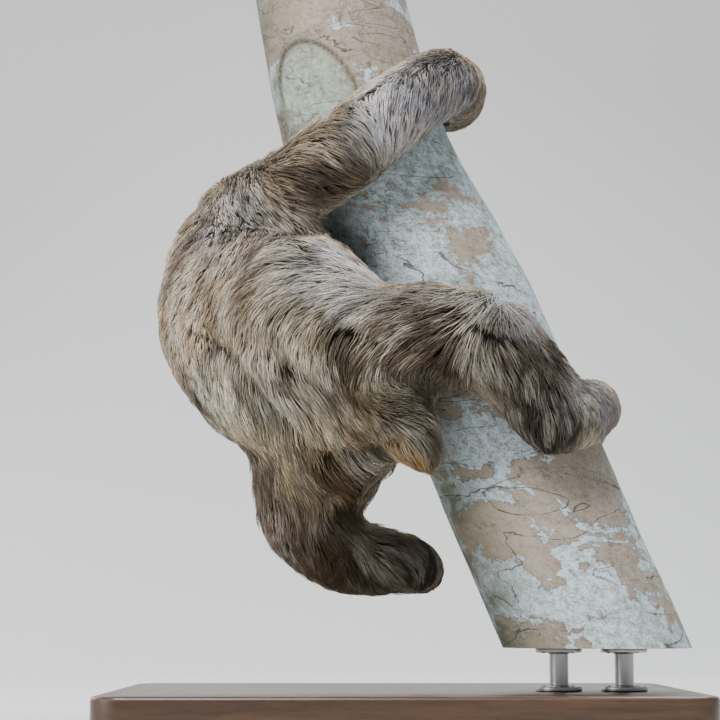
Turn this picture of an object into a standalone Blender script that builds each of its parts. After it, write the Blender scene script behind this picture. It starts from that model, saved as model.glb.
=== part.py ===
"""Still, life-size model of a brown-throated three-toed sloth clinging to a cut length of tree trunk.

The animal is one smooth body, modelled out to the tips of its coat, which thin cuts part into
head, neck, torso, tail and limbs. Claws, eyes and nose are pieces of their own. The trunk stands on
two short rods and a flat base. Metres, +Z up, with the origin under the middle of the base.
"""

import math

import bmesh
import bpy
import numpy as np
from mathutils import Vector

GAP = 0.0004  # clear space left between pieces that meet

# ---- stand ----
BASE_LENGTH, BASE_DEPTH, BASE_THICKNESS = 0.56, 0.42, 0.025
BASE_CORNER, BASE_EDGE = 0.03, 0.004
ROD_PLACES = ((0.149, -0.061), (0.211, -0.061))
ROD_RADIUS, FLANGE_RADIUS, FLANGE_THICKNESS = 0.009, 0.022, 0.004

# ---- perch: (x, y, z, radius) along the trunk from below its lower cut to above its upper cut ----
PERCH_STATIONS = (
    (0.204, -0.074, 0.020, 0.084),
    (0.182, -0.061, 0.073, 0.084),
    (0.151, -0.043, 0.150, 0.084),
    (0.120, -0.026, 0.228, 0.085),
    (0.058, 0.006, 0.381, 0.086),
    (0.018, 0.023, 0.466, 0.086),
    (-0.035, 0.047, 0.587, 0.084),
    (-0.071, 0.077, 0.746, 0.080),
    (-0.083, 0.089, 0.830, 0.079),
)
PERCH_BOTTOM, PERCH_TOP = 0.066, 0.790
PERCH_SIDES, PERCH_RINGS = 26, 10

# ---- body: each length runs through stations of (x, y, z, half width, half depth) ----
TORSO = (
    (-0.163, -0.005, 0.500, 0.040, 0.040),
    (-0.162, -0.012, 0.470, 0.070, 0.068),
    (-0.151, -0.024, 0.432, 0.095, 0.086),
    (-0.133, -0.044, 0.392, 0.111, 0.098),
    (-0.108, -0.062, 0.350, 0.109, 0.102),
    (-0.080, -0.078, 0.309, 0.098, 0.095),
    (-0.059, -0.085, 0.277, 0.072, 0.072),
)
FLANK = (
    (-0.098, -0.066, 0.432, 0.045, 0.050),
    (-0.063, -0.088, 0.396, 0.048, 0.052),
    (-0.034, -0.100, 0.360, 0.055, 0.056),
)
NECK = (
    (-0.156, 0.005, 0.474, 0.047, 0.046),
    (-0.149, 0.048, 0.502, 0.040, 0.038),
    (-0.142, 0.080, 0.522, 0.038, 0.036),
)
TAIL = (
    (-0.029, -0.110, 0.305, 0.041, 0.040),
    (-0.005, -0.132, 0.278, 0.037, 0.036),
    (0.012, -0.142, 0.255, 0.031, 0.030),
    (0.023, -0.146, 0.238, 0.018, 0.018),
)
RIGHT_ARM = (
    (-0.159, -0.028, 0.489, 0.048, 0.046),
    (-0.115, -0.056, 0.508, 0.044, 0.042),
    (-0.054, -0.076, 0.547, 0.044, 0.041),
    (0.003, -0.064, 0.595, 0.040, 0.040),
    (0.041, -0.020, 0.629, 0.038, 0.038),
    (0.058, 0.030, 0.638, 0.035, 0.034),
    (0.060, 0.076, 0.633, 0.031, 0.028),
    (0.044, 0.112, 0.629, 0.023, 0.019),
)
LEFT_SHOULDER = (
    (-0.176, 0.040, 0.452, 0.045, 0.044),
    (-0.158, 0.088, 0.446, 0.042, 0.040),
    (-0.112, 0.124, 0.446, 0.040, 0.038),
)
# The left forearm lies along the far side of the perch, through stations of
# (height, angle, clear of the bark, half width, half depth)
LEFT_FOREARM = (
    (0.508, 116, 0.047, 0.041, 0.039),
    (0.560, 110, 0.041, 0.040, 0.036),
    (0.615, 105, 0.037, 0.037, 0.033),
    (0.665, 98, 0.032, 0.033, 0.028),
    (0.694, 88, 0.027, 0.028, 0.022),
    (0.709, 76, 0.022, 0.022, 0.018),
)
RIGHT_LEG = (
    (-0.048, -0.100, 0.346, 0.063, 0.060),
    (-0.004, -0.120, 0.352, 0.059, 0.052),
    (0.033, -0.126, 0.354, 0.057, 0.048),
    (0.067, -0.127, 0.355, 0.055, 0.047),
    (0.099, -0.120, 0.334, 0.048, 0.043),
    (0.124, -0.118, 0.307, 0.043, 0.038),
    (0.140, -0.122, 0.278, 0.038, 0.034),
)
RIGHT_FOOT = (
    (0.138, -0.122, 0.277, 0.036, 0.034),
    (0.166, -0.100, 0.285, 0.035, 0.030),
    (0.188, -0.060, 0.296, 0.030, 0.025),
    (0.200, -0.020, 0.302, 0.023, 0.019),
)
LEFT_LEG = (
    (-0.088, -0.054, 0.277, 0.064, 0.057),
    (-0.083, -0.050, 0.240, 0.068, 0.052),
    (-0.092, -0.038, 0.205, 0.057, 0.046),
    (-0.083, -0.030, 0.175, 0.044, 0.042),
    (-0.050, -0.022, 0.154, 0.041, 0.038),
    (-0.009, -0.010, 0.149, 0.035, 0.034),
    (0.014, 0.016, 0.145, 0.029, 0.028),
    (0.025, 0.048, 0.140, 0.024, 0.022),
    (0.028, 0.074, 0.137, 0.017, 0.016),
)

# ---- head: along its own forward, side and up directions ----
HEAD_CENTRE = Vector((-0.142, 0.104, 0.536))
HEAD_FORWARD = Vector((-0.34, 0.92, -0.14)).normalized()
HEAD_SIDE = HEAD_FORWARD.cross(Vector((0.12, 0.0, 1.0))).normalized()
HEAD_UP = HEAD_SIDE.cross(HEAD_FORWARD)
# (forward, up, half length, half width, half height) of the skull, the cheeks' ruff and the muzzle
HEAD_LUMPS = (
    (-0.012, 0.002, 0.043, 0.043, 0.041),
    (0.006, -0.004, 0.034, 0.041, 0.036),
    (0.026, -0.010, 0.027, 0.025, 0.022),
)
EYE_RADIUS, EYE_FORWARD, EYE_OUT, EYE_UP = 0.0058, 0.0240, 0.0195, 0.0035
EYE_DEPTH = 0.0045  # from the coat's tips to the front of the eye
NOSE_FORWARD, NOSE_UP = 0.0475, -0.0060
NOSE_HALF = (0.0060, 0.0095, 0.0072)

# ---- claws ----
HAND_CLAW, FOOT_CLAW = 0.074, 0.056  # outer length
CLAW_HALF_WIDTH, CLAW_HALF_DEPTH, CLAW_TIP = 0.0034, 0.0046, 0.0009
CLAW_SPREAD = 0.0100  # from one claw to the next
CLAW_SIDES, CLAW_STEPS = 6, 6
CLAW_ROOT = 0.016  # length held in the toe
CLAW_CLEAR = 0.0022  # from the bark to the middle of the tip

# ---- mesh sizes ----
VOXEL = 0.0045
SMOOTHING = 10
BODY_TRIANGLES = 3500

# ---- parts: each one's length and the stations between which it lies, or the head's reach along its
# forward direction, taken off the body in this order ----
PART_ROOM = 0.012  # by which the room that a part takes stands out from its own surface
PARTS = (
    ("tail", "tail", 0.55, 4.0),
    ("right_hand", "right_arm", 4.7, 8.5),
    ("right_forearm", "right_arm", 2.45, 4.7),
    ("right_upper_arm", "right_arm", 1.0, 2.45),
    ("left_hand", "left_arm", 6.1, 9.5),
    ("left_forearm", "left_arm", 3.2, 6.1),
    ("left_upper_arm", "left_arm", 1.1, 3.2),
    ("right_foot", "right_foot", 0.25, 4.0),
    ("right_shank", "right_leg", 3.3, 7.0),
    ("right_thigh", "right_leg", 1.1, 3.3),
    ("left_foot", "left_leg", 5.4, 9.5),
    ("left_shank", "left_leg", 2.5, 5.4),
    ("left_thigh", "left_leg", 0.9, 2.5),
    ("head", "head", -0.050, 0.090),
    ("neck", "neck", 0.85, 2.4),
)
HEAD_ROOM = 0.062
ROOM_SIDES = 14

# ---- colours: base colour, roughness, metallic ----
COLOURS = {
    "coat": ((0.30, 0.25, 0.19), 0.9, 0.0),
    "claw": ((0.30, 0.24, 0.15), 0.4, 0.0),
    "eye": ((0.03, 0.02, 0.015), 0.1, 0.0),
    "nose": ((0.05, 0.04, 0.035), 0.5, 0.0),
    "bark": ((0.62, 0.62, 0.58), 0.85, 0.0),
    "board": ((0.16, 0.10, 0.06), 0.5, 0.0),
    "steel": ((0.55, 0.55, 0.56), 0.3, 1.0),
}


def clear_scene():
    for item in list(bpy.data.objects):
        bpy.data.objects.remove(item, do_unlink=True)


def finish(name, kind):
    """A Principled material of its own for one sub-part."""
    colour, roughness, metallic = COLOURS[kind]
    material = bpy.data.materials.new(f"{kind}_{name}")
    material.use_nodes = True
    shader = material.node_tree.nodes["Principled BSDF"]
    shader.inputs["Base Color"].default_value = (*colour, 1.0)
    shader.inputs["Roughness"].default_value = roughness
    shader.inputs["Metallic"].default_value = metallic
    return material


def add_object(name, mesh, kind=None):
    item = bpy.data.objects.new(name, mesh)
    bpy.context.scene.collection.objects.link(item)
    if kind:
        mesh.materials.clear()
        mesh.materials.append(finish(name, kind))
    return item


def along(stations, places):
    """Rows on a Catmull-Rom curve through the stations, at places counted in stations and straight past
    both ends."""
    p = np.array(stations, float)
    last = len(p) - 1
    p = np.vstack([2 * p[0] - p[1], p, 2 * p[-1] - p[-2]])
    rows = []
    for place in places:
        i = int(min(max(math.floor(place), 0), last - 1))
        u = place - i
        a, b, c, d = p[i : i + 4]
        if 0 <= u <= 1:
            curve = 2 * b + (c - a) * u + (2 * a - 5 * b + 4 * c - d) * u**2
            rows.append((curve + (3 * b - a - 3 * c + d) * u**3) / 2)
        else:
            end, slope, beyond = (b, (c - a) / 2, u) if u < 0 else (c, (d - b) / 2, u - 1)
            rows.append(np.concatenate([(end + slope * beyond)[:3], end[3:]]))
    return np.array(rows)


def smooth_path(stations, steps):
    last = len(stations) - 1
    return along(stations, np.linspace(0, last, last * steps + 1))


def unit(v):
    return v / np.linalg.norm(v)


def add_tube(bm, path, sides, depth_way=(0.0, 1.0, 0.0), round_ends=3, end_ways=None):
    """A closed tube through rows of (x, y, z, half width, half depth), its depth set along depth_way at the
    start and carried along without twist. round_ends rings close each end in a half ellipsoid, and end_ways
    may give the directions that flat ends face along."""
    centres, sizes = path[:, :3], path[:, 3:5]
    tangents = np.gradient(centres, axis=0)
    if end_ways is not None:
        tangents[0], tangents[-1] = end_ways
    tangents = np.array([unit(t) for t in tangents])
    deep = np.array(depth_way, float)
    rows = []
    for i, (centre, tangent) in enumerate(zip(centres, tangents)):
        deep = unit(deep - deep.dot(tangent) * tangent)
        rows.append((centre, np.cross(deep, tangent), deep, sizes[i]))
    if round_ends:
        for end, way in ((0, -1), (-1, 1)):
            centre, across, deep_end, size = rows[end]
            reach = size.mean()
            caps = []
            for k in range(1, round_ends + 1):
                turn = math.pi / 2 * k / (round_ends + 0.6)
                place = centre + way * tangents[end] * reach * math.sin(turn)
                caps.append((place, across, deep_end, size * math.cos(turn)))
            rows = caps[::-1] + rows if end == 0 else rows + caps
    rings = []
    for centre, across, deep_way, size in rows:
        ring = []
        for k in range(sides):
            turn = 2 * math.pi * k / sides
            place = centre + size[0] * math.cos(turn) * across + size[1] * math.sin(turn) * deep_way
            ring.append(bm.verts.new(place))
        rings.append(ring)
    for low, high in zip(rings, rings[1:]):
        for k in range(sides):
            n = (k + 1) % sides
            bm.faces.new((low[k], high[k], high[n], low[n]))
    bm.faces.new(rings[0])
    bm.faces.new(rings[-1][::-1])


def add_ellipsoid(bm, centre, axes, half, grow=0.0, segments=20, rings=14):
    """An ellipsoid with half sizes along three unit directions, each grown by the same width."""
    made = bmesh.ops.create_uvsphere(bm, u_segments=segments, v_segments=rings, radius=1.0)
    for vert in made["verts"]:
        sizes = [share * (size + grow) for share, size in zip(vert.co, half)]
        vert.co = centre + axes[0] * sizes[0] + axes[1] * sizes[1] + axes[2] * sizes[2]


def to_mesh(bm, name):
    """The closed mesh with its faces turned outwards."""
    bmesh.ops.recalc_face_normals(bm, faces=bm.faces)
    if bm.calc_volume(signed=True) < 0:
        bmesh.ops.reverse_faces(bm, faces=bm.faces)
    mesh = bpy.data.meshes.new(name)
    bm.to_mesh(mesh)
    bm.free()
    return mesh


def evaluated(item):
    """The object's mesh with its modifiers applied, the modifiers removed."""
    graph = bpy.context.evaluated_depsgraph_get()
    mesh = bpy.data.meshes.new_from_object(item.evaluated_get(graph))
    item.modifiers.clear()
    item.data = mesh
    return mesh


def cut_away(item, mesh, operation="DIFFERENCE"):
    """Subtracts one closed mesh from the object, or keeps only what lies in both. The manifold solver is used
    because the exact one loses the body where two cuts run side by side."""
    cutter = add_object("cutter", mesh)
    cutter.hide_render = True
    cutter.display_type = "WIRE"
    boolean = item.modifiers.new("cut", "BOOLEAN")
    boolean.operation = operation
    boolean.solver = "MANIFOLD"
    boolean.object = cutter
    evaluated(item)
    bpy.data.objects.remove(cutter, do_unlink=True)


# ---- perch ----
PERCH_CURVE = smooth_path(PERCH_STATIONS, 12)


def perch_station(height):
    """The perch's centre, the direction of its axis and its radius at a height."""
    here, below, above = (
        np.array([np.interp(height + step, PERCH_CURVE[:, 2], column) for column in PERCH_CURVE.T])
        for step in (0.0, -0.01, 0.01)
    )
    return here[:3], unit(above[:3] - below[:3]), here[3]


def by_perch(height, angle, clear):
    """A point beside the perch: angle in degrees from its +X side towards its +Y side, clear of its bark."""
    centre, axis, radius = perch_station(height)
    right = unit(np.array([1.0, 0.0, 0.0]) - axis[0] * axis)
    back = np.cross(axis, right)
    turn = math.radians(angle)
    return centre + (radius + clear) * (math.cos(turn) * right + math.sin(turn) * back)


def perch_place(point):
    """The height, angle and clearance that by_perch would turn into this point."""
    offsets = PERCH_CURVE[:, :3] - np.array(point)
    height = PERCH_CURVE[np.argmin(np.linalg.norm(offsets, axis=1)), 2]
    for _ in range(20):
        centre, axis, radius = perch_station(height)
        height += (np.array(point) - centre).dot(axis) * axis[2]
    right = unit(np.array([1.0, 0.0, 0.0]) - axis[0] * axis)
    offset = np.array(point) - centre
    angle = math.degrees(math.atan2(offset.dot(np.cross(axis, right)), offset.dot(right)))
    return height, angle, np.linalg.norm(offset) - radius


def perch_mesh(name, grow):
    """The trunk's length, grown in radius and cut level at both ends."""
    bm = bmesh.new()
    picks = np.linspace(0, len(PERCH_CURVE) - 1, PERCH_RINGS).round().astype(int)
    rings = PERCH_CURVE[picks]
    rings[:, 3] += grow
    add_tube(bm, rings[:, [0, 1, 2, 3, 3]], PERCH_SIDES, round_ends=0)
    for level, way in ((PERCH_BOTTOM, -1), (PERCH_TOP, 1)):
        geometry = bm.verts[:] + bm.edges[:] + bm.faces[:]
        cut = bmesh.ops.bisect_plane(
            bm, geom=geometry, plane_co=(0, 0, level), plane_no=(0, 0, way), clear_outer=True
        )
        rim = [e for e in cut["geom_cut"] if isinstance(e, bmesh.types.BMEdge)]
        bmesh.ops.contextual_create(bm, geom=rim)
    return to_mesh(bm, name)


# ---- stand ----
def make_base():
    bm = bmesh.new()
    corner_steps = 5
    outline = []
    for cx, cy, first in ((1, 1, 0), (-1, 1, 90), (-1, -1, 180), (1, -1, 270)):
        for k in range(corner_steps + 1):
            turn = math.radians(first + 90 * k / corner_steps)
            x = cx * (BASE_LENGTH / 2 - BASE_CORNER) + BASE_CORNER * math.cos(turn)
            y = cy * (BASE_DEPTH / 2 - BASE_CORNER) + BASE_CORNER * math.sin(turn)
            outline.append(bm.verts.new((x, y, 0)))
    bottom = bm.faces.new(outline)
    lifted = bmesh.ops.extrude_face_region(bm, geom=[bottom])
    top = [v for v in lifted["geom"] if isinstance(v, bmesh.types.BMVert)]
    bmesh.ops.translate(bm, vec=(0, 0, BASE_THICKNESS), verts=top)
    rim = [e for e in bm.edges if all(v.co.z > BASE_THICKNESS / 2 for v in e.verts)]
    bmesh.ops.bevel(bm, geom=rim, offset=BASE_EDGE, segments=2, affect="EDGES")
    add_object("stand_base", to_mesh(bm, "stand_base"), "board")


def make_rod(number, place):
    """A steel rod between two round flanges, turned about its own axis."""
    low, high = BASE_THICKNESS + GAP, PERCH_BOTTOM - GAP
    profile = (
        (FLANGE_RADIUS, low),
        (FLANGE_RADIUS, low + FLANGE_THICKNESS),
        (ROD_RADIUS, low + FLANGE_THICKNESS),
        (ROD_RADIUS, high - FLANGE_THICKNESS),
        (FLANGE_RADIUS, high - FLANGE_THICKNESS),
        (FLANGE_RADIUS, high),
    )
    sides = 16
    bm = bmesh.new()
    rings = []
    for radius, z in profile:
        ring = []
        for k in range(sides):
            turn = 2 * math.pi * k / sides
            spot = (place[0] + radius * math.cos(turn), place[1] + radius * math.sin(turn), z)
            ring.append(bm.verts.new(spot))
        rings.append(ring)
    for a, b in zip(rings, rings[1:]):
        for k in range(sides):
            n = (k + 1) % sides
            bm.faces.new((a[k], a[n], b[n], b[k]))
    bm.faces.new(rings[0])
    bm.faces.new(rings[-1])
    name = f"stand_rod_{number}"
    add_object(name, to_mesh(bm, name), "steel")


# ---- claws ----
def claw_mesh(name, path, grow=0.0):
    """A curved, tapered claw, deeper than wide and hooked, along its path from root to tip."""
    count = len(path)
    u = np.linspace(0, 1, count)
    taper = np.sqrt(np.clip(1 - u**2.2, 0, 1))
    wide = CLAW_TIP + (CLAW_HALF_WIDTH - CLAW_TIP) * taper + grow
    deep = CLAW_TIP + (CLAW_HALF_DEPTH - CLAW_TIP) * taper + grow
    bend = path[0] - 2 * path[count // 2] + path[-1]
    bm = bmesh.new()
    add_tube(bm, np.column_stack([path, wide, deep]), CLAW_SIDES, depth_way=bend, round_ends=1)
    return to_mesh(bm, name)


def perch_claws(limb, turn_way, length, rise):
    """Paths of three claws, one above another, hooked round the perch from a limb's end."""
    height, angle, clear = perch_place(limb[-1][:3])
    turn = turn_way * math.degrees(0.88 * length / perch_station(height)[2])
    paths = []
    for k in (-1, 0, 1):
        points = []
        for u in np.linspace(0, 1, CLAW_STEPS + 1):
            reach = clear + (CLAW_CLEAR - clear) * u**1.7
            points.append(by_perch(height + k * CLAW_SPREAD + rise * u, angle + turn * u, reach))
        paths.append(np.array(points))
    return paths


def free_claws(limb, aim, inwards, side, length, bend):
    """Paths of three claws, side by side, that hook round nothing."""
    aim, inwards, side = (unit(np.array(v, float)) for v in (aim, inwards, side))
    paths = []
    for k in (-1, 0, 1):
        place = np.array(limb[-1][:3]) + k * CLAW_SPREAD * 0.8 * side
        points = [place]
        for n in range(CLAW_STEPS):
            turn = math.radians(bend) * ((n + 0.5) / CLAW_STEPS) ** 1.2
            way = math.cos(turn) * aim + math.sin(turn) * inwards + 0.06 * k * side
            place = place + unit(way) * length / CLAW_STEPS
            points.append(place)
        paths.append(np.array(points))
    return paths


def claw_paths(limbs):
    hand, foot = HAND_CLAW + CLAW_ROOT, FOOT_CLAW + CLAW_ROOT
    paths = {
        "right_hand": perch_claws(limbs["right_arm"], 1, hand, 0.004),
        "left_hand": perch_claws(limbs["left_arm"], -1, hand, 0.010),
        "right_foot": perch_claws(limbs["right_foot"], 1, foot, -0.024),
        "left_foot": free_claws(limbs["left_leg"], (-0.04, 1.0, 0.14), (0, -0.2, -1), (1, 0, 0.1), foot, 40),
    }
    return {f"{foot}_claw_{n + 1}": path for foot, row in paths.items() for n, path in enumerate(row)}


# ---- body ----
def head_point(forward, out, up):
    return HEAD_CENTRE + HEAD_FORWARD * forward + HEAD_SIDE * out + HEAD_UP * up


def limb_stations():
    """The stations of every length of the body, the left forearm's turned from places beside the perch."""
    forearm = [(*by_perch(h, angle, clear), wide, deep) for h, angle, clear, wide, deep in LEFT_FOREARM]
    return {
        "torso": TORSO,
        "flank": FLANK,
        "neck": NECK,
        "tail": TAIL,
        "right_arm": RIGHT_ARM,
        "left_arm": LEFT_SHOULDER + tuple(forearm),
        "right_leg": RIGHT_LEG,
        "right_foot": RIGHT_FOOT,
        "left_leg": LEFT_LEG,
    }


def body_mesh(limbs):
    """The whole animal as one smooth closed body."""
    bm = bmesh.new()
    for stations in limbs.values():
        add_tube(bm, smooth_path(stations, 5), 24)
    for forward, up, length, width, height in HEAD_LUMPS:
        axes = (HEAD_FORWARD, HEAD_SIDE, HEAD_UP)
        add_ellipsoid(bm, head_point(forward, 0, up), axes, (length, width, height))
    body = add_object("body", to_mesh(bm, "body"))
    remesh = body.modifiers.new("voxels", "REMESH")
    remesh.mode = "VOXEL"
    remesh.voxel_size = VOXEL
    soften = body.modifiers.new("soften", "SMOOTH")
    soften.factor = 0.5
    soften.iterations = SMOOTHING
    evaluated(body)
    triangles = sum(len(face.vertices) - 2 for face in body.data.polygons)
    thin_out = body.modifiers.new("thin out", "DECIMATE")
    thin_out.ratio = BODY_TRIANGLES / triangles
    evaluated(body)
    return body


def eye_axis(body, side):
    """The place where an eye's own axis leaves the head, and the axis' direction."""
    start = head_point(0.004, side * 0.004, EYE_UP * 0.8)
    way = (head_point(EYE_FORWARD, side * EYE_OUT, EYE_UP) - start).normalized()
    hit, place, _, _ = body.ray_cast(start, way)
    if not hit:
        raise ValueError("the eye's axis misses the head")
    return place, way


def make_eye(body, side, name):
    surface, way = eye_axis(body, side)
    centre = surface - way * (EYE_DEPTH + EYE_RADIUS)
    across = way.cross(Vector((0, 0, 1))).normalized()
    axes = (across, way.cross(across), way)
    bm = bmesh.new()
    add_ellipsoid(bm, centre, axes, (EYE_RADIUS,) * 3, segments=12, rings=8)
    add_object(name, to_mesh(bm, name), "eye")
    socket = []
    reach = EYE_RADIUS + GAP
    for k in range(9):
        turn = math.pi / 2 * (1 - k / 8)
        socket.append((*(centre - way * reach * math.sin(turn)), max(reach * math.cos(turn), 0.0006)))
    flare = 0.30
    for ahead in (0.004, 0.008, 0.014):
        socket.append((*(centre + way * ahead), reach + flare * ahead))
    rows = np.array([(x, y, z, r, r) for x, y, z, r in socket])
    bm = bmesh.new()
    add_tube(bm, rows, 12, depth_way=tuple(across), round_ends=0)
    return to_mesh(bm, "socket")


def make_nose():
    axes = (HEAD_FORWARD, HEAD_SIDE, HEAD_UP)
    centre = head_point(NOSE_FORWARD, 0, NOSE_UP)
    bm = bmesh.new()
    add_ellipsoid(bm, centre, axes, NOSE_HALF, segments=14, rings=8)
    add_object("nose", to_mesh(bm, "nose"), "nose")
    bm = bmesh.new()
    add_ellipsoid(bm, centre, axes, NOSE_HALF, grow=GAP, segments=14, rings=8)
    return to_mesh(bm, "nose bed")


def largest_piece(item):
    """Keeps only the object's largest separate piece, and drops crumbs that a cut leaves."""
    bm = bmesh.new()
    bm.from_mesh(item.data)
    left = set(bm.verts)
    pieces = []
    while left:
        seen = {left.pop()}
        rim = list(seen)
        while rim:
            for edge in rim.pop().link_edges:
                for vert in edge.verts:
                    if vert not in seen:
                        seen.add(vert)
                        rim.append(vert)
        left -= seen
        pieces.append(seen)
    pieces.sort(key=len)
    for crumb in pieces[:-1]:
        bmesh.ops.delete(bm, geom=list(crumb), context="VERTS")
    bmesh.ops.triangulate(bm, faces=bm.faces)
    bm.to_mesh(item.data)
    bm.free()


def part_room(limbs, limb, first, last, grow):
    """The room of one part: a tube round it with flat ends at its joints."""
    ways = None
    if limb == "head":
        ends = [HEAD_CENTRE + HEAD_FORWARD * ahead for ahead in (first - grow, 0.0, last)]
        rows = np.array([(*place, HEAD_ROOM + grow, HEAD_ROOM + grow) for place in ends])
    else:
        rows = along(limbs[limb], np.linspace(first, last, max(4, round((last - first) * 3))))
        rows[:, 3:] += PART_ROOM + grow
        step = 0.05
        ways = []
        for end in (first, last):
            behind, ahead = along(limbs[limb], (end - step, end + step))[:, :3]
            ways.append(ahead - behind)
        rows[0, :3] -= unit(ways[0]) * grow
        rows[-1, :3] += unit(ways[1]) * grow
    bm = bmesh.new()
    add_tube(bm, rows, ROOM_SIDES, round_ends=0, end_ways=ways)
    return to_mesh(bm, "room")


def part_body(body, limbs):
    """Takes each part off the body, cut at its joints; what is left is the torso."""
    for name, limb, first, last in PARTS:
        part = add_object(name, body.data.copy())
        cut_away(part, part_room(limbs, limb, first, last, 0.0), "INTERSECT")
        largest_piece(part)
        cut_away(body, part_room(limbs, limb, first, last, GAP))
        part.data.materials.clear()
        part.data.materials.append(finish(name, "coat"))
    body.name = "torso"
    largest_piece(body)
    body.data.materials.clear()
    body.data.materials.append(finish("torso", "coat"))


clear_scene()
make_base()
for count, spot in enumerate(ROD_PLACES):
    make_rod(count + 1, spot)
add_object("perch", perch_mesh("perch", 0.0), "bark")

limbs = limb_stations()
sloth = body_mesh(limbs)
cut_away(sloth, perch_mesh("perch room", GAP))
for claw, line in claw_paths(limbs).items():
    add_object(claw, claw_mesh(claw, line), "claw")
    cut_away(sloth, claw_mesh("claw bed", line, GAP))
for sign, eye in ((-1, "eye_left"), (1, "eye_right")):
    cut_away(sloth, make_eye(sloth, sign, eye))
cut_away(sloth, make_nose())
part_body(sloth, limbs)
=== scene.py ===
"""A museum model of a three-toed sloth hugging a cut length of tree trunk, on a plain display stand.

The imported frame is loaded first. The camera, floor and lamps follow, then the object as it is put
together: the trunk, the board and rods that hold it, the sloth's skin, its eyes, nose and claws,
and last its coat.
"""

import math

import bpy
import numpy as np
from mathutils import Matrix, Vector
from mathutils.bvhtree import BVHTree
from mathutils.kdtree import KDTree


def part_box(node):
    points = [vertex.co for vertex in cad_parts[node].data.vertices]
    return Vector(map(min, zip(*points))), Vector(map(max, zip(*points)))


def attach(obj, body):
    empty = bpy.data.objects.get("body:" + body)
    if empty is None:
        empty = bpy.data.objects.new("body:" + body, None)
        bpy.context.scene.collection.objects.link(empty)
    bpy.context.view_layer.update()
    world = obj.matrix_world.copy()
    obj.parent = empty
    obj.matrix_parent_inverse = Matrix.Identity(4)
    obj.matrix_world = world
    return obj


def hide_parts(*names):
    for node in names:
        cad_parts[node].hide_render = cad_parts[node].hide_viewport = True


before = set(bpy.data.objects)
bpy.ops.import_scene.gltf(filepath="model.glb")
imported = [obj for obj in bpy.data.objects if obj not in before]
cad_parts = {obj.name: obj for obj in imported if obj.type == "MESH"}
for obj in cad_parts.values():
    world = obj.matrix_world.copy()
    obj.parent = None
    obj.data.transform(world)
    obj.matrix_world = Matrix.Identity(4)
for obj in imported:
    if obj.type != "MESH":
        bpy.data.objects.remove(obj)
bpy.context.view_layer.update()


# ---- Camera ----
# It stands low, on the sloth's right and behind it, and looks a little upwards.
bpy.ops.object.camera_add(location=(-0.04, -1.983, 0.089), rotation=(math.radians(97.5), 0, 0))
camera = bpy.context.object
camera.data.lens, camera.data.sensor_width = 100, 36
camera.data.clip_start, camera.data.clip_end = 0.05, 60
bpy.context.scene.camera = camera


# ---- Room ----
# A plain pale floor that sweeps up into a plain pale wall far behind the stand.
def new_piece(name):
    """The object an operator has just added, under its own name, with its place put into its mesh."""
    piece = bpy.context.object
    piece.name = piece.data.name = name
    bpy.ops.object.transform_apply(location=True, rotation=True, scale=True)
    return piece


def paint(red, green, blue):
    """A paint-chart colour, each part out of 255, as the shader's linear colour."""
    parts = [part / 255 for part in (red, green, blue)]
    return tuple(p / 12.92 if p < 0.04045 else ((p + 0.055) / 1.055) ** 2.4 for p in parts) + (1.0,)


class Shade:
    """An output in a material's tree: arithmetic on it adds Math nodes, and node adds any other node."""

    def __init__(self, tree, socket=None):
        self.tree, self.socket = tree, socket

    def node(self, kind, output=0, settings=None, **inputs):
        """A new node's output. inputs are named as its sockets are, with _ for a space, or in0, in6, ..."""
        made = self.tree.nodes.new("ShaderNode" + kind)
        for setting, value in (settings or {}).items():
            setattr(made, setting, value)
        for place, value in inputs.items():
            key = int(place[2:]) if place[:2] == "in" and place[2:].isdigit() else place.replace("_", " ")
            if isinstance(value, Shade):
                self.tree.links.new(value.socket, made.inputs[key])
            else:
                made.inputs[key].default_value = value
        return Shade(self.tree, made.outputs[output])

    def maths(self, operation, *others):
        values = {f"in{k}": value for k, value in enumerate((self, *others))}
        return self.node("Math", settings={"operation": operation}, **values)

    def __add__(self, other):
        return self.maths("ADD", other)

    def __sub__(self, other):
        return self.maths("SUBTRACT", other)

    def __mul__(self, other):
        return self.maths("MULTIPLY", other)

    def __rsub__(self, other):
        return self.node("Math", settings={"operation": "SUBTRACT"}, in0=other, in1=self)

    __radd__, __rmul__ = __add__, __mul__

    def noise(self, scale, detail, **others):
        """Cloudy noise read at this place."""
        return self.node("TexNoise", Vector=self, Scale=scale, Detail=detail, **others)

    def step(self, low, high):
        """0 below low and 1 above high, with an even slope between them."""
        return self.node("MapRange", in0=self, in1=low, in2=high)

    def mix(self, low, high):
        """The colour low where this is 0, and high where it is 1."""
        return self.node("Mix", 2, {"data_type": "RGBA", "clamp_factor": True}, in0=self, in6=low, in7=high)


def finish(name, roughness=0.6, metallic=0.0, **others):
    """A new material, its shader and the start of its tree. others are constants on the shader's sockets."""
    material = bpy.data.materials.new(name)
    material.use_nodes = True
    shader = material.node_tree.nodes["Principled BSDF"]
    shader.inputs["Roughness"].default_value = roughness
    shader.inputs["Metallic"].default_value = metallic
    for socket, value in others.items():
        shader.inputs[socket.replace("_", " ")].default_value = value
    return material, shader, Shade(material.node_tree)


def wire(shader, **values):
    """Links outputs to the shader's sockets."""
    for socket, value in values.items():
        value.tree.links.new(value.socket, shader.inputs[socket.replace("_", " ")])


def relief(shader, height, distance, strength):
    """Raises the surface by height times distance, in metres, as bump."""
    wire(shader, Normal=height.node("Bump", Strength=strength, Distance=distance, Height=height))


def read(rows, key, width, kind=float):
    """One property of all of a mesh's vertices, edges or triangles, as rows of width numbers."""
    flat = np.empty(len(rows) * width, kind)
    rows.foreach_get(key, flat)
    return flat.reshape(-1, width)


def points_of(mesh):
    return read(mesh.vertices, "co", 3)


def put_points(mesh, points):
    mesh.vertices.foreach_set("co", np.asarray(points, float).ravel())
    mesh.update()


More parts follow.
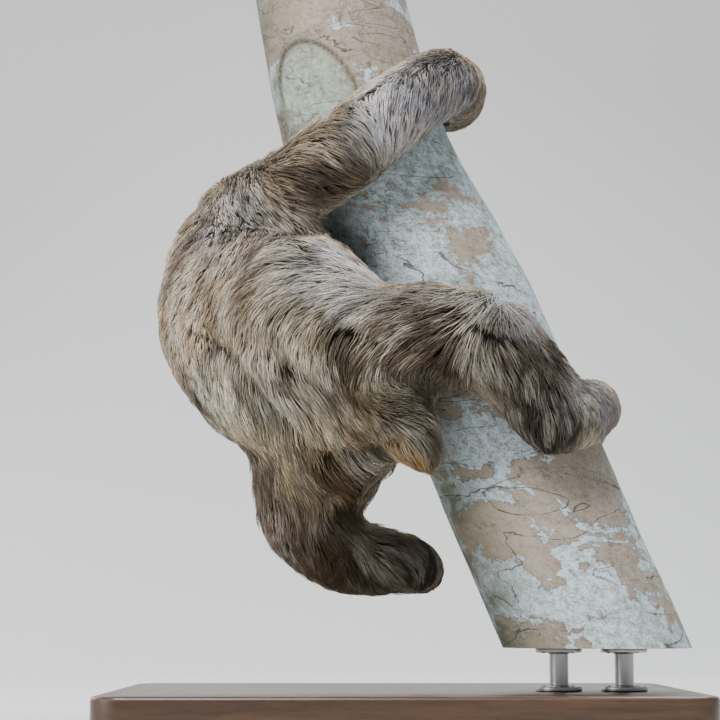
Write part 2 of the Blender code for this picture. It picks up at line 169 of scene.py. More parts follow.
FLOOR_HALF_WIDTH, SWEEP_START, SWEEP_BEND = 6, 1.6, 1.6  # metres; the floor starts to rise at SWEEP_START
bpy.ops.mesh.primitive_grid_add(x_subdivisions=2, y_subdivisions=60, size=2, location=(0, 0, 0))
room = new_piece("floor_sweep")
run = points_of(room.data)
reach = run[:, 1] * 4.5 + 0.5
turn = np.clip((reach - SWEEP_START) / SWEEP_BEND, 0, math.pi / 2)
rise = np.clip(reach - SWEEP_START - SWEEP_BEND * math.pi / 2, 0, None)
run[:, 0] *= FLOOR_HALF_WIDTH
run[:, 1] = np.minimum(reach, SWEEP_START) + SWEEP_BEND * np.sin(turn)
run[:, 2] = SWEEP_BEND * (1 - np.cos(turn)) + rise
put_points(room.data, run)
bpy.ops.object.shade_smooth()
pale, pale_shader, tree = finish("pale_sweep", 0.8, Base_Color=paint(226, 226, 224))
spot = tree.node("TexCoord", 3)
relief(pale_shader, spot.noise(220, 3), 0.0002, 0.3)
room.data.materials.append(pale)

# A big soft lamp overhead, a weak one low on the left, and two behind to lift the outline.
for name, place, aim, size, power, tint in (
    ("key", (-0.9, -1.6, 3.2), (-0.05, -0.05, 0.40), 1.2, 165, (1.0, 0.98, 0.95)),
    ("fill", (-2.6, -1.1, 1.1), (-0.05, -0.05, 0.35), 1.6, 34, (1.0, 0.97, 0.92)),
    ("rim", (0.8, 1.3, 2.6), (-0.05, 0.0, 0.45), 1.4, 62, (0.93, 0.97, 1.0)),
    ("far side", (-2.0, 1.9, 1.3), (-0.05, 0.05, 0.4), 1.6, 26, (1.0, 0.98, 0.95)),
):
    bpy.ops.object.light_add(type="AREA", location=place)
    lamp = bpy.context.object
    lamp.name, lamp.data.size, lamp.data.energy, lamp.data.color = name, size, power, tint
    lamp.rotation_euler = (Vector(aim) - Vector(place)).to_track_quat("-Z", "Y").to_euler()
world = bpy.context.scene.world = bpy.data.worlds.new("studio")
world.use_nodes = True
air = world.node_tree.nodes["Background"].inputs
air["Color"].default_value, air["Strength"].default_value = (0.80, 0.88, 1.0, 1), 0.38


# ---- Trunk ----
# A cut length of a smooth-barked tropical tree, whitish with lichen over beige bark. It leans, it bends a
# little, its ends are sawn level, and a curved lip of bark has grown round an old scar near its top.
TRUNK_STATIONS = (
    (0.204, -0.074, 0.020, 0.084),
    (0.182, -0.061, 0.073, 0.084),
    (0.151, -0.043, 0.150, 0.084),
    (0.120, -0.026, 0.228, 0.085),
    (0.058, 0.006, 0.381, 0.086),
    (0.018, 0.023, 0.466, 0.086),
    (-0.035, 0.047, 0.587, 0.084),
    (-0.071, 0.077, 0.746, 0.080),
    (-0.083, 0.089, 0.830, 0.079),
)
TRUNK_INSET = 0.0016  # the bark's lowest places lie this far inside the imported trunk's surface
TRUNK_RADIUS = 0.083  # the middling one, for patterns laid round the trunk
BARK_RIM = 0.005
SCAR_ANGLE, SCAR_LEVEL, SCAR_WIDE, SCAR_HIGH = math.radians(-124), 0.618, 0.050, 0.064


def along(stations, places):
    """Rows between stations, on a smooth curve through them, at places counted in stations."""
    rows = np.array(stations, float)
    rows = np.vstack([2 * rows[0] - rows[1], rows, 2 * rows[-1] - rows[-2]])
    places = np.clip(np.asarray(places, float), 0, len(stations) - 1 - 1e-9)
    k = places.astype(int)
    t = (places - k)[:, None]
    a, b, c, d = rows[k], rows[k + 1], rows[k + 2], rows[k + 3]
    return 0.5 * (2 * b + (c - a) * t + (2 * a - 5 * b + 4 * c - d) * t**2 + (3 * b - a - 3 * c + d) * t**3)


def unit(rows):
    """Each row made 1 long."""
    return rows / np.maximum(np.linalg.norm(rows, axis=-1, keepdims=True), 1e-12)


def ripple(points, wave, seed, octaves=3):
    """A smooth, seeded wave in space from about -1 to 1, with wave as its longest length in metres."""
    dice = np.random.default_rng(seed)
    total, weight = np.zeros(len(points)), 0.0
    for octave in range(octaves):
        size = wave / 2**octave
        for _ in range(5):
            way = unit(dice.normal(size=3))
            total += np.sin(points @ way * (2 * math.pi / size) + dice.uniform(0, 6.3)) * 0.6**octave
            weight += 0.5 * 0.6**octave
    return total / math.sqrt(weight * 2)


def mark(mesh, name, values):
    """Keeps a number or a vector at each vertex, for the material to read."""
    kind, key = ("FLOAT_VECTOR", "vector") if np.ndim(values) > 1 else ("FLOAT", "value")
    mesh.attributes.new(name, kind, "POINT").data.foreach_set(key, np.ravel(values))


def pick(piece, kind, wanted):
    """Selects just the piece's vertices, edges or faces that wanted says, ready for edit mode."""
    mesh = piece.data
    for row in (mesh.vertices, mesh.edges, mesh.polygons):
        row.foreach_set("select", np.zeros(len(row), bool))
    kinds = ("vertices", "edges", "polygons")
    bpy.context.tool_settings.mesh_select_mode = [kind == name for name in kinds]
    for part in getattr(mesh, kind):
        part.select = bool(wanted(part))


def edit(piece, operator, **settings):
    """One edit-mode operator on what is selected."""
    bpy.context.view_layer.objects.active = piece
    bpy.ops.object.mode_set(mode="EDIT")
    operator(**settings)
    bpy.ops.object.mode_set(mode="OBJECT")


def edit_all(piece, operator, **settings):
    """One edit-mode operator on the whole piece."""
    edit(piece, bpy.ops.mesh.select_all, action="SELECT")
    edit(piece, operator, **settings)


bpy.ops.mesh.primitive_grid_add(x_subdivisions=150, y_subdivisions=240, size=2)
trunk = new_piece("trunk")
trunk_low, trunk_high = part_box("perch")
curve = along(TRUNK_STATIONS, np.linspace(0, len(TRUNK_STATIONS) - 1, 300))
sides = points_of(trunk.data)
# The sheet is rolled up, with its joint at the back, and each of its rows stays level.
angle = sides[:, 0] * math.pi + math.pi / 2
angle = (angle + math.pi) % (2 * math.pi) - math.pi
share = (sides[:, 1] + 1) / 2
level = trunk_low.z + share * (trunk_high.z - trunk_low.z)
centre, above, under = (
    np.column_stack([np.interp(level + off, curve[:, 2], curve[:, k]) for k in range(4)])
    for off in (0, 0.012, -0.012)
)
axis = unit(above[:, :3] - under[:, :3])
right = unit(np.array([1.0, 0, 0]) - axis[:, :1] * axis)
back = np.cross(axis, right)
around = np.cos(angle)[:, None] * right + np.sin(angle)[:, None] * back
straight = np.column_stack([np.cos(angle) * TRUNK_RADIUS, np.sin(angle) * TRUNK_RADIUS, level * 1.08])

# The bark: slow swells, fine cracks that run slantwise round the trunk, and the scar's lip.
swell = ripple(straight, 0.16, 3, 3)
warped = straight + 0.006 * np.column_stack([ripple(straight, 0.05, s, 2) for s in (4, 5, 6)])
crack = np.clip(1 - np.abs(ripple(warped * (1.0, 1.0, 2.4), 0.11, 8, 2)) / 0.035, 0, 1)
scar_x = ((angle - SCAR_ANGLE + math.pi) % (2 * math.pi) - math.pi) * TRUNK_RADIUS / SCAR_WIDE
scar_y = (level - SCAR_LEVEL) / SCAR_HIGH
scar_from = np.hypot(scar_x, scar_y)
lip = np.exp(-(((scar_from - 1) / 0.10) ** 2)) * np.clip(scar_y * 1.5 + 0.9, 0, 1)
hollow = np.clip(1 - scar_from, 0, 1) ** 0.5 * np.clip(scar_y * 1.4 + 1.0, 0, 1)
height = np.minimum(0.0007 * swell - 0.0011 * crack + 0.0022 * lip - 0.0016 * hollow, 0.0012)
surface = centre[:, :3] + around * (centre[:, 3] - TRUNK_INSET + height)[:, None]
# Sliding each point along the axis onto its row's level keeps the ends sawn flat.
surface += axis * ((level - surface[:, 2]) / axis[:, 2])[:, None]
put_points(trunk.data, surface)
mark(trunk.data, "straight", straight)
mark(trunk.data, "scar", np.clip(hollow * 1.5, 0, 1))
mark(trunk.data, "lip", np.exp(-(((scar_from - 0.92) / 0.055) ** 2)) * np.clip(scar_y * 2 + 0.9, 0, 1))
edit_all(trunk, bpy.ops.mesh.remove_doubles, threshold=1e-5)
edit(trunk, bpy.ops.mesh.fill_holes, sides=0)
edit_all(trunk, bpy.ops.mesh.normals_make_consistent, inside=False)
pick(trunk, "polygons", lambda f: len(f.vertices) > 4)
edit(trunk, bpy.ops.mesh.inset, thickness=BARK_RIM)
bpy.ops.object.shade_smooth_by_angle(angle=math.radians(50))

bark, bark_shader, tree = finish("lichened_bark", 0.86, Specular_IOR_Level=0.3)
grow = tree.node("Attribute", 1, {"attribute_name": "straight"})
slant = grow.node("Mapping", Vector=grow, Rotation=(0.34, 0.16, 0), Scale=(1, 1, 1.5))
grain = grow.noise(150, 6, Roughness=0.65)
grit = grow.noise(560, 3, Roughness=0.6)
cloud = slant.noise(11, 10, Roughness=0.60, Distortion=0.7)
second = slant.noise(22, 9, Roughness=0.64, Distortion=0.3)
third = grow.noise(6, 4, Roughness=0.5)
upward = grow.node("SeparateXYZ", 2, Vector=grow)
bare = (grain * 0.6 + second * 0.9).step(0.60, 0.95).mix(paint(128, 114, 99), paint(176, 161, 142))
dust = (grit * 0.8 + grain * 0.6).step(0.56, 0.84).mix(bare, paint(168, 158, 147))
film = third.step(0.40, 0.60).mix(paint(186, 206, 216), paint(158, 176, 170))
film = (grain * 0.5 + cloud * 0.6).step(0.44, 0.66).mix(film, paint(204, 222, 232))
film = (grit * 0.7 + grain * 0.7).step(0.78, 0.56).mix(film, paint(146, 146, 138))
middle_band = upward.step(0.38, 0.46) * upward.step(0.66, 0.58)
cover = (cloud + grain * 0.16 - upward.step(0.62, 0.74) * 0.085 + middle_band * 0.045).step(0.532, 0.556)
islands = (second + grain * 0.20 - upward.step(0.62, 0.80) * 0.02).step(0.695, 0.715)
cover = cover.maths("MAXIMUM", islands)
colour = cover.mix(dust, film)
# Where a patch of lichen ends it has a thin dark edge, and fine cracks run slantwise round the trunk.
edge = (cloud + grain * 0.16 - 0.540).maths("ABSOLUTE").step(0.008, 0.0) * 0.35
long_way = grow.node("Mapping", Vector=grow, Rotation=(0.55, 0.30, 0), Scale=(1, 1, 2.6))
lines = long_way.noise(7.5, 5, Roughness=0.45, Distortion=0.8)
crease = (lines - 0.5 + (grain - 0.5) * 0.015).maths("ABSOLUTE").step(0.0065, 0.0015)
crease = crease * second.step(0.42, 0.52)
specks = grow.node("TexVoronoi", Vector=grow, Scale=190)
speck = specks.step(0.17, 0.08) * third.step(0.44, 0.60) * grain.step(0.42, 0.56)
lip_line = tree.node("Attribute", 2, {"attribute_name": "lip"})
# Green-grey algae on its left side, out of the light, darkened further there as painted shade.
algae_and_shade = grow.node("SeparateXYZ", 0, Vector=grow).step(-0.035, -0.080)
algae_and_shade = algae_and_shade * (second + grain * 0.3).step(0.45, 0.75)
colour = (algae_and_shade * 0.9).mix(colour, paint(82, 86, 66))
inside_scar = tree.node("Attribute", 2, {"attribute_name": "scar"})
healed = (grain * 1.2).step(0.4, 0.85).mix(paint(132, 142, 126), paint(176, 188, 176))
colour = inside_scar.mix(colour, healed)
dark = edge.maths("MAXIMUM", crease * 0.85).maths("MAXIMUM", speck * 0.6)
dark = dark.maths("MAXIMUM", lip_line * grain.step(0.30, 0.50))
colour = dark.mix(colour, paint(72, 63, 54))
wire(bark_shader, Base_Color=colour, Roughness=cover.step(0, 1) * -0.12 + 0.92)
bumps = grain * 0.6 + grit * 0.25 + cover * 0.35 + second * 0.5 - dark * 0.8
relief(bark_shader, bumps, 0.0012, 0.9)
trunk.data.materials.append(bark)

# The sawn ends: pale wood with a dark bark rim, close rings and saw marks.
sawn, sawn_shader, tree = finish("sawn_wood", 0.75, Specular_IOR_Level=0.3)
spot = tree.node("TexCoord", 3)
for_top = spot.node("VectorMath", 0, {"operation": "MULTIPLY"}, in0=spot, in1=(1, 1, 0))
wobble = for_top.noise(16, 4)
ring = for_top.node("TexWave", 1, {"wave_type": "RINGS", "rings_direction": "Z", "wave_profile": "SIN"},
                    Vector=for_top.node("Mapping", Vector=for_top, Location=(0.079, -0.084, 0)),
                    Scale=62, Distortion=2.2, Detail=2, Detail_Scale=1.2)
drawn_out = for_top.node("Mapping", Vector=for_top, Scale=(1, 14, 1))
saw = drawn_out.noise(60, 5)
wood = (ring * 0.6 + wobble * 0.5 + saw * 0.3).step(0.3, 1.1).mix(paint(214, 190, 150), paint(172, 138, 98))
wire(sawn_shader, Base_Color=wood, Roughness=saw * 0.2 + 0.62)
relief(sawn_shader, saw + ring * 0.4, 0.0005, 0.7)
trunk.data.materials.append(sawn)
for face in trunk.data.polygons:
    if len(face.vertices) > 4:
        face.material_index = 1
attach(trunk, "root")
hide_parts("perch")


# ---- Display stand: board ----
# A flat rounded board of dark stained wood, with a fine line cut round its top and felt under it.
BOARD = (0.56, 0.42, 0.025)
BOARD_CORNER, BOARD_EDGE, FELT_MARGIN = 0.030, 0.004, 0.006


def corner(piece, edge):
    return [piece.data.vertices[v].co for v in edge.vertices]


bpy.ops.mesh.primitive_cube_add(size=1, location=(0, 0, BOARD[2] / 2), scale=BOARD)
board = new_piece("board")
pick(board, "edges", lambda e: abs((corner(board, e)[0] - corner(board, e)[1]).z) > 0.01)
edit(board, bpy.ops.mesh.bevel, offset=BOARD_CORNER, segments=10, affect="EDGES")
pick(board, "edges", lambda e: all(c.z > BOARD[2] - 1e-5 for c in corner(board, e)))
edit(board, bpy.ops.mesh.bevel, offset=BOARD_EDGE, segments=4, affect="EDGES")
for thickness, depth in ((0.010, 0.0), (0.0012, -0.0010), (0.0012, 0.0010)):
    pick(board, "polygons", lambda f: f.normal.z > 0.9 and f.area > 0.1)
    edit(board, bpy.ops.mesh.inset, thickness=thickness, depth=depth)
pick(board, "polygons", lambda f: f.normal.z < -0.9)
edit(board, bpy.ops.mesh.inset, thickness=FELT_MARGIN)
bpy.ops.object.shade_smooth_by_angle(angle=math.radians(40))
stained, stained_shader, tree = finish("stained_wood", 0.34, Coat_Weight=0.25, Coat_Roughness=0.25)
spot = tree.node("TexCoord", 3)
drawn = spot.node("Mapping", Vector=spot, Scale=(1.2, 16, 16))
figure = drawn.noise(5, 7, Roughness=0.6, Distortion=1.2)
long_way = spot.node("Mapping", Vector=spot, Scale=(14, 260, 260))
pores = long_way.noise(5, 3)
wood = (figure * 0.9 + pores * 0.25).step(0.35, 0.85).mix(paint(52, 36, 26), paint(98, 70, 48))
wire(stained_shader, Base_Color=pores.step(0.60, 0.72).mix(wood, paint(34, 24, 18)))
wire(stained_shader, Roughness=figure * 0.25 + 0.28)
relief(stained_shader, pores * -0.6 + figure * 0.3, 0.0003, 0.5)
felt, felt_shader, tree = finish("dark_felt", 0.95, Sheen_Weight=0.4)
nap = tree.node("TexCoord", 3).noise(900, 3)
wire(felt_shader, Base_Color=nap.mix(paint(30, 34, 32), paint(58, 64, 60)))
relief(felt_shader, nap, 0.0004, 0.7)
for wood_or_felt in (stained, felt):
    board.data.materials.append(wood_or_felt)
for face in board.data.polygons:
    face.material_index = int(face.normal.z < -0.9 and face.area > 0.1)
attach(board, "root")
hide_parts("stand_base")


# ---- Display stand: rods ----
# Two short brushed steel rods, each welded between round flanges that three screws hold to the board
# and three more to the trunk's sawn foot.
ROD_RADIUS, FLANGE_RADIUS, FLANGE_THICKNESS = 0.009, 0.022, 0.004
WELD_CIRCLE, WELD_RADIUS, SCREW_CIRCLE, SCREW_RADIUS = 0.0092, 0.0013, 0.0158, 0.0026
brushed, brushed_shader, tree = finish("brushed_steel", 0.34, 1.0)
spot = tree.node("TexCoord", 3)
round_it = spot.node("Mapping", Vector=spot, Scale=(6, 6, 900))
lines = round_it.noise(3, 4)
smear = spot.noise(70, 3)
wire(brushed_shader, Base_Color=(lines * 0.7 + smear * 0.3).mix(paint(150, 150, 150), paint(196, 196, 194)))
wire(brushed_shader, Roughness=lines * 0.22 + smear * 0.12 + 0.18)
relief(brushed_shader, lines, 0.0002, 0.4)
for number in (1, 2):
    low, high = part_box(f"stand_rod_{number}")
    middle = (low + high) / 2
    bpy.ops.mesh.primitive_cylinder_add(vertices=48, radius=ROD_RADIUS, depth=high.z - low.z - 0.006,
                                        location=middle)
    made = [new_piece("shaft")]
    for z, way in ((low.z + FLANGE_THICKNESS / 2, 1), (high.z - FLANGE_THICKNESS / 2, -1)):
        bpy.ops.mesh.primitive_cylinder_add(vertices=64, radius=FLANGE_RADIUS, depth=FLANGE_THICKNESS,
                                            location=(*middle.xy, z))
        flange = new_piece("flange")
        pick(flange, "edges", lambda e: len({round(c.z, 4) for c in corner(flange, e)}) == 1)
        edit(flange, bpy.ops.mesh.bevel, offset=0.0006, segments=3, affect="EDGES")
        bpy.ops.mesh.primitive_torus_add(major_segments=48, minor_segments=10, major_radius=WELD_CIRCLE,
                                         minor_radius=WELD_RADIUS, location=(*middle.xy, z + way * 0.0021))
        made += [flange, new_piece("weld")]
        for turn in (30, 150, 270):
            out = Vector((math.cos(math.radians(turn)), math.sin(math.radians(turn)), 0)) * SCREW_CIRCLE
            head = Vector((*middle.xy, z + way * 0.0019)) + out
            bpy.ops.mesh.primitive_uv_sphere_add(segments=20, ring_count=10, radius=SCREW_RADIUS,
                                                 location=head, scale=(1, 1, 0.4))
            made.append(new_piece("screw"))
    for piece in made:
        piece.select_set(True)
    bpy.context.view_layer.objects.active = made[0]
    bpy.ops.object.join()
    rod = bpy.context.object
    rod.name = rod.data.name = f"steel_rod_{number}"
    bpy.ops.object.shade_smooth_by_angle(angle=math.radians(45))
    rod.data.materials.append(brushed)
    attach(rod, "root")
    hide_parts(f"stand_rod_{number}")


# ---- Skin ----
# The sloth's hide: one closed surface, deeper inside the coat's outline where the hair is long and close
# under it on the hands, feet and face.
FLESH = ["head", "neck", "torso", "tail"]
FLESH += [f"{side}_{part}" for side in ("right", "left")
          for part in ("upper_arm", "forearm", "hand", "thigh", "shank", "foot")]
COAT_DEPTH = {"head": 0.012, "neck": 0.015, "torso": 0.023, "tail": 0.012, "upper_arm": 0.015,
              "forearm": 0.013, "hand": 0.006, "thigh": 0.019, "shank": 0.013, "foot": 0.006}
SKIN_GRAIN = 0.0034  # how closely the skin's own vertices stand
HEAD_CENTRE = np.array((-0.142, 0.104, 0.536))
HEAD_FORWARD = np.array((-0.3432, 0.9286, -0.1413))
HEAD_SIDE = np.array((0.9375, 0.3293, -0.1125))
HEAD_UP = np.array((0.0579, 0.1711, 0.9836))


def in_head(points):
    """Places as (forward, towards the sloth's right, up) from the middle of its head."""
    return (points - HEAD_CENTRE) @ np.column_stack([HEAD_FORWARD, HEAD_SIDE, HEAD_UP])


def out_of_head(places):
    return HEAD_CENTRE + np.asarray(places, float) @ np.array([HEAD_FORWARD, HEAD_SIDE, HEAD_UP])


def on_back(points, parts):
    """How far each place is on the back or the shoulders, where the coat is short, from 0 to 1."""
    back = np.clip((-0.155 - points[:, 0]) / 0.03, 0, 1)
    high = np.clip((points[:, 2] - 0.425) / 0.025, 0, 1)
    shoulder = high * np.clip((-0.115 - points[:, 0]) / 0.025, 0, 1)
    short_coated = [FLESH.index(name) for name in ("torso", "right_upper_arm", "left_upper_arm")]
    return np.maximum(back, shoulder) * np.isin(parts, short_coated)


def normals_of(mesh):
    return read(mesh.vertex_normals, "vector", 3)


def edges_of(mesh):
    return read(mesh.edges, "vertices", 2, int)


def faces_of(mesh):
    return [list(face.vertices) for face in mesh.polygons]


def even_out(values, edges, rounds, share=0.5):
    """Values at the vertices, each drawn towards its neighbours' mean."""
    values = np.array(values, float)
    flat = values.reshape(len(values), -1)
    count = np.bincount(edges.ravel(), minlength=len(flat))[:, None]
    for _ in range(rounds):
        total = np.column_stack([
            np.bincount(edges[:, 0], column[edges[:, 1]], len(flat))
            + np.bincount(edges[:, 1], column[edges[:, 0]], len(flat))
            for column in flat.T
        ])
        flat += share * (total / np.maximum(count, 1) - flat)
    return flat.reshape(values.shape)


def only(piece):
    """Selects one piece and nothing else."""
    bpy.ops.object.select_all(action="DESELECT")
    piece.select_set(True)
    bpy.context.view_layer.objects.active = piece


def apply_modifier(piece, kind, **settings):
    only(piece)
    modifier = piece.modifiers.new("shape", kind)
    for setting, value in settings.items():
        setattr(modifier, setting, value)
    bpy.ops.object.modifier_apply(modifier=modifier.name)


bpy.ops.object.select_all(action="DESELECT")
flesh_corners, flesh_faces, flesh_names = [], [], []
for name in FLESH:
    part = bpy.data.objects.new(name + " copy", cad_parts[name].data.copy())
    bpy.context.scene.collection.objects.link(part)
    part.select_set(True)
    start = len(flesh_corners)
    flesh_corners += [tuple(v.co) for v in part.data.vertices]
    flesh_faces += [[start + v for v in face] for face in faces_of(part.data)]
    flesh_names += [name] * len(part.data.polygons)
bpy.context.view_layer.objects.active = part
bpy.ops.object.join()
skin = bpy.context.object
skin.name = skin.data.name = "skin"
skin.data.materials.clear()
edit_all(skin, bpy.ops.mesh.remove_doubles, threshold=1e-5)
apply_modifier(skin, "REMESH", mode="VOXEL", voxel_size=SKIN_GRAIN)
apply_modifier(skin, "SMOOTH", factor=0.5, iterations=12)

# The outline of the coat.
outline_points = points_of(skin.data)
outline = BVHTree.FromPolygons(outline_points.tolist(), faces_of(skin.data))
flesh = BVHTree.FromPolygons(flesh_corners, flesh_faces)


def parts_at(points):
    """Which part of the body each place belongs to, as its number in FLESH."""
    return np.array([FLESH.index(flesh_names[flesh.find_nearest(p)[2]]) for p in points])


body_part = parts_at(outline_points)
plain_part = [name.removeprefix("right_").removeprefix("left_") for name in FLESH]
place = in_head(outline_points)
on_head = body_part == 0
skin_edges = edges_of(skin.data)
inwards = -normals_of(skin.data)

# The coat is thin where the body presses on the trunk, and where the flesh itself is thin.
trunk_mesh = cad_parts["perch"].data
bark_side = BVHTree.FromPolygons([tuple(v.co) for v in trunk_mesh.vertices], faces_of(trunk_mesh))
pressed = np.array([bark_side.find_nearest(p)[3] for p in outline_points]) < 0.0035
through = np.array([outline.ray_cast(Vector(p) + Vector(n) * 0.0005, n)[3] or 0.1
                    for p, n in zip(outline_points, inwards)])
depth = np.array([COAT_DEPTH[name] for name in plain_part])[body_part]
depth[on_head] = (0.012 - 0.0082 * np.clip((place[:, 0] + 0.004) / 0.030, 0, 1))[on_head]
depth *= 1 - 0.42 * on_back(outline_points, body_part)
depth[pressed] = 0.002
depth = np.minimum(depth, 0.36 * through)
depth = even_out(depth, skin_edges, 24)
depth[on_head & (place[:, 0] > 0.028)] = 0.0034
depth = even_out(np.minimum(depth, 0.42 * through), skin_edges, 6)

# The outline sinks in small steps, evened out as it goes, until the skin is as deep as the coat is thick.
SINK_STEPS = 8
surface = outline_points.copy()
for _ in range(SINK_STEPS):
    surface -= normals_of(skin.data) * (depth / SINK_STEPS)[:, None]
    surface = even_out(surface, skin_edges, 1, 0.3)
    put_points(skin.data, surface)
for _ in range(4):
    gap = np.array([outline.find_nearest(p)[3] for p in surface])
    surface -= normals_of(skin.data) * ((depth - gap) * 0.5)[:, None]
    surface = even_out(surface, skin_edges, 2, 0.3)
    put_points(skin.data, surface)
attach(skin, "root")
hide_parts(*FLESH)


# ---- Face ----
# Small dark eyes with leathery lids, a bare black nose pad with two nostrils, and a mouth whose corners turn
# up. The lids and the mouth line are shaped in the skin; the lid rims, eyeballs and nose are set into it.
eye_middles = [np.array(sum(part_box(f"eye_{side}"), Vector()) / 2) for side in ("right", "left")]
EYES = [in_head(middle) for middle in eye_middles]
EYE_RADIUS = 0.0058
EYE_WAYS = [unit(np.array((0.0200, side * 0.0155, 0.0007))) for side in (1, -1)]
MOUTH = (
    (0.0300, -0.0215, -0.0105), (0.0350, -0.0190, -0.0150), (0.0420, -0.0125, -0.0185),
    (0.0480, -0.0055, -0.0185), (0.0500, 0.0000, -0.0172), (0.0480, 0.0055, -0.0185),
    (0.0420, 0.0125, -0.0185), (0.0350, 0.0190, -0.0150), (0.0300, 0.0215, -0.0105),
)
NOSE_MIDDLE, NOSE_HALF = np.array((0.0475, 0.0, -0.0060)), np.array((0.0060, 0.0095, 0.0072))
LID_MARGIN, LID_REACH = 0.0022, 0.0128  # the bare rim round each eye, and where the lids end in the cheek


def lid_opening(turn):
    """How far from the eye's own axis the lids meet the eyeball, in radians: an almond, wider than high."""
    return math.radians(38) + math.radians(16) * np.abs(np.cos(turn)) ** 1.6


def eye_sides(eye):
    """The level and the upright way across an eye."""
    level = unit(np.cross(EYE_WAYS[eye], (0, 0, 1)))
    return level, np.cross(level, EYE_WAYS[eye])


def off_eyes(places):
    return np.minimum(*(np.linalg.norm(places - middle, axis=1) for middle in EYES))


# The face is cut finer, closest round the eyes and nose, so that lids and lips can be shaped in it.
coarse_faces, coarse_surface = faces_of(skin.data), surface.copy()
coarse = BVHTree.FromPolygons(surface.tolist(), coarse_faces)
known = np.column_stack([outline_points, inwards, depth, pressed])
for by_eye, by_nose in ((0.019, 0.030), (0.015, 0.024), (0.0115, 0.0165)):
    middles = in_head(np.array([face.center for face in skin.data.polygons]))
    finer = (off_eyes(middles) < by_eye) | (np.linalg.norm(middles - (0.042, 0, -0.010), axis=1) < by_nose)
    pick(skin, "polygons", lambda f: finer[f.index])
    edit(skin, bpy.ops.mesh.subdivide, number_cuts=1)
surface = points_of(skin.data)
fine = []
for p in surface:
    row = coarse_faces[coarse.find_nearest(p)[2]]
    share = 1 / (np.linalg.norm(coarse_surface[row] - p, axis=1) + 1e-7)
    fine.append(share @ known[row] / share.sum())
fine = np.array(fine)
outline_points, inwards, depth, pressed = fine[:, :3], unit(fine[:, 3:6]), fine[:, 6], fine[:, 7] > 0.5
body_part = parts_at(outline_points)
place = in_head(outline_points)
on_head = body_part == 0
skin_edges = edges_of(skin.data)
in_face = np.clip((in_head(surface)[:, 0] - 0.012) / 0.006, 0, 1)[:, None] * on_head[:, None]
surface += in_face * (even_out(surface, skin_edges, 12) - surface)

# Lids drawn over each eyeball, and the socket sunk behind it.
carved = in_head(surface)
bare, lid_dark = np.zeros(len(surface), bool), np.zeros(len(surface))
for eye in (0, 1):
    level, upright = eye_sides(eye)
    apart = carved - EYES[eye]
    across_eye = np.column_stack([apart @ level, apart @ upright])
    beside, height = np.linalg.norm(across_eye, axis=1), apart @ EYE_WAYS[eye]
    opening = EYE_RADIUS * np.sin(lid_opening(np.arctan2(across_eye[:, 1], across_eye[:, 0])))
    over = np.sqrt(np.maximum((EYE_RADIUS + 0.0010) ** 2 - np.minimum(beside, 0.0062) ** 2, 0))
    away = np.clip((beside - 0.0058) / 0.0070, 0, 1)
    away = away * away * (3 - 2 * away)
    lid = over * (1 - away) + height * away
    lid = np.where(beside < opening, 0.0005, lid)
    here = on_head & (height > -0.014) & (beside < LID_REACH)
    carved += np.where(here, lid - height, 0)[:, None] * EYE_WAYS[eye]
    bare |= here & (beside < opening + LID_MARGIN)
    lid_dark = np.maximum(lid_dark, here * np.clip(1.6 - (beside - opening) / LID_MARGIN, 0, 1))
surface = out_of_head(carved)
put_points(skin.data, surface)


def tree_of(points):
    """A search tree over places, for finding which is nearest."""
    made = KDTree(len(points))
    for k, p in enumerate(points):
        made.insert(p, k)
    made.balance()
    return made


# The mouth: a groove along a line laid on the skin, with fuller lips above and below it.
skin_side = BVHTree.FromPolygons(surface.tolist(), faces_of(skin.data))
mouth = out_of_head(along(MOUTH, np.linspace(0, len(MOUTH) - 1, 90)))
mouth_tree = tree_of([skin_side.find_nearest(p)[0] for p in mouth])
off_mouth = np.array([mouth_tree.find(p)[2] if head else 1.0 for p, head in zip(surface, on_head)])
lips, groove = np.exp(-(((off_mouth - 0.0028) / 0.0013) ** 2)), np.exp(-((off_mouth / 0.0011) ** 2))
surface += normals_of(skin.data) * (0.0008 * lips - 0.0016 * groove)[:, None]
put_points(skin.data, surface)
pad = np.linalg.norm((in_head(surface) - NOSE_MIDDLE) / NOSE_HALF, axis=1)
bare |= on_head & ((off_mouth < 0.0016) | (pad < 1.15))
lip_dark = np.maximum(np.exp(-((off_mouth / 0.0021) ** 2)), np.clip(2.0 - pad, 0, 1)) * on_head
nearest_bare = np.minimum(off_mouth, np.maximum(pad - 1, 0) * 0.009)
nearest_bare = np.minimum(nearest_bare, off_eyes(in_head(surface)) - 0.0062)

lid_skin, lid_shader, tree = finish("lid_skin", 0.42, Specular_IOR_Level=0.5)
wrinkle = tree.node("TexCoord", 3).noise(900, 4)
wire(lid_shader, Base_Color=wrinkle.mix(paint(38, 28, 23), paint(78, 60, 50)))
relief(lid_shader, wrinkle, 0.0004, 0.8)
eyeball, eye_shader, tree = finish("dark_eye", 0.14, Coat_Weight=0.4, Coat_Roughness=0.02,
                                   Specular_IOR_Level=0.3)
from_pupil = tree.node("Attribute", 2, {"attribute_name": "off_pupil"})
fleck = tree.node("TexCoord", 3).noise(1400, 3)
iris = (fleck * 0.9).step(0.3, 0.6).mix(paint(22, 12, 8), paint(58, 34, 18))
white = (from_pupil + fleck * 0.0004).step(0.0038, 0.0043).mix(iris, paint(46, 34, 28))
wire(eye_shader, Base_Color=(from_pupil + fleck * 0.0003).step(0.0017, 0.0021).mix(paint(6, 5, 5), white))
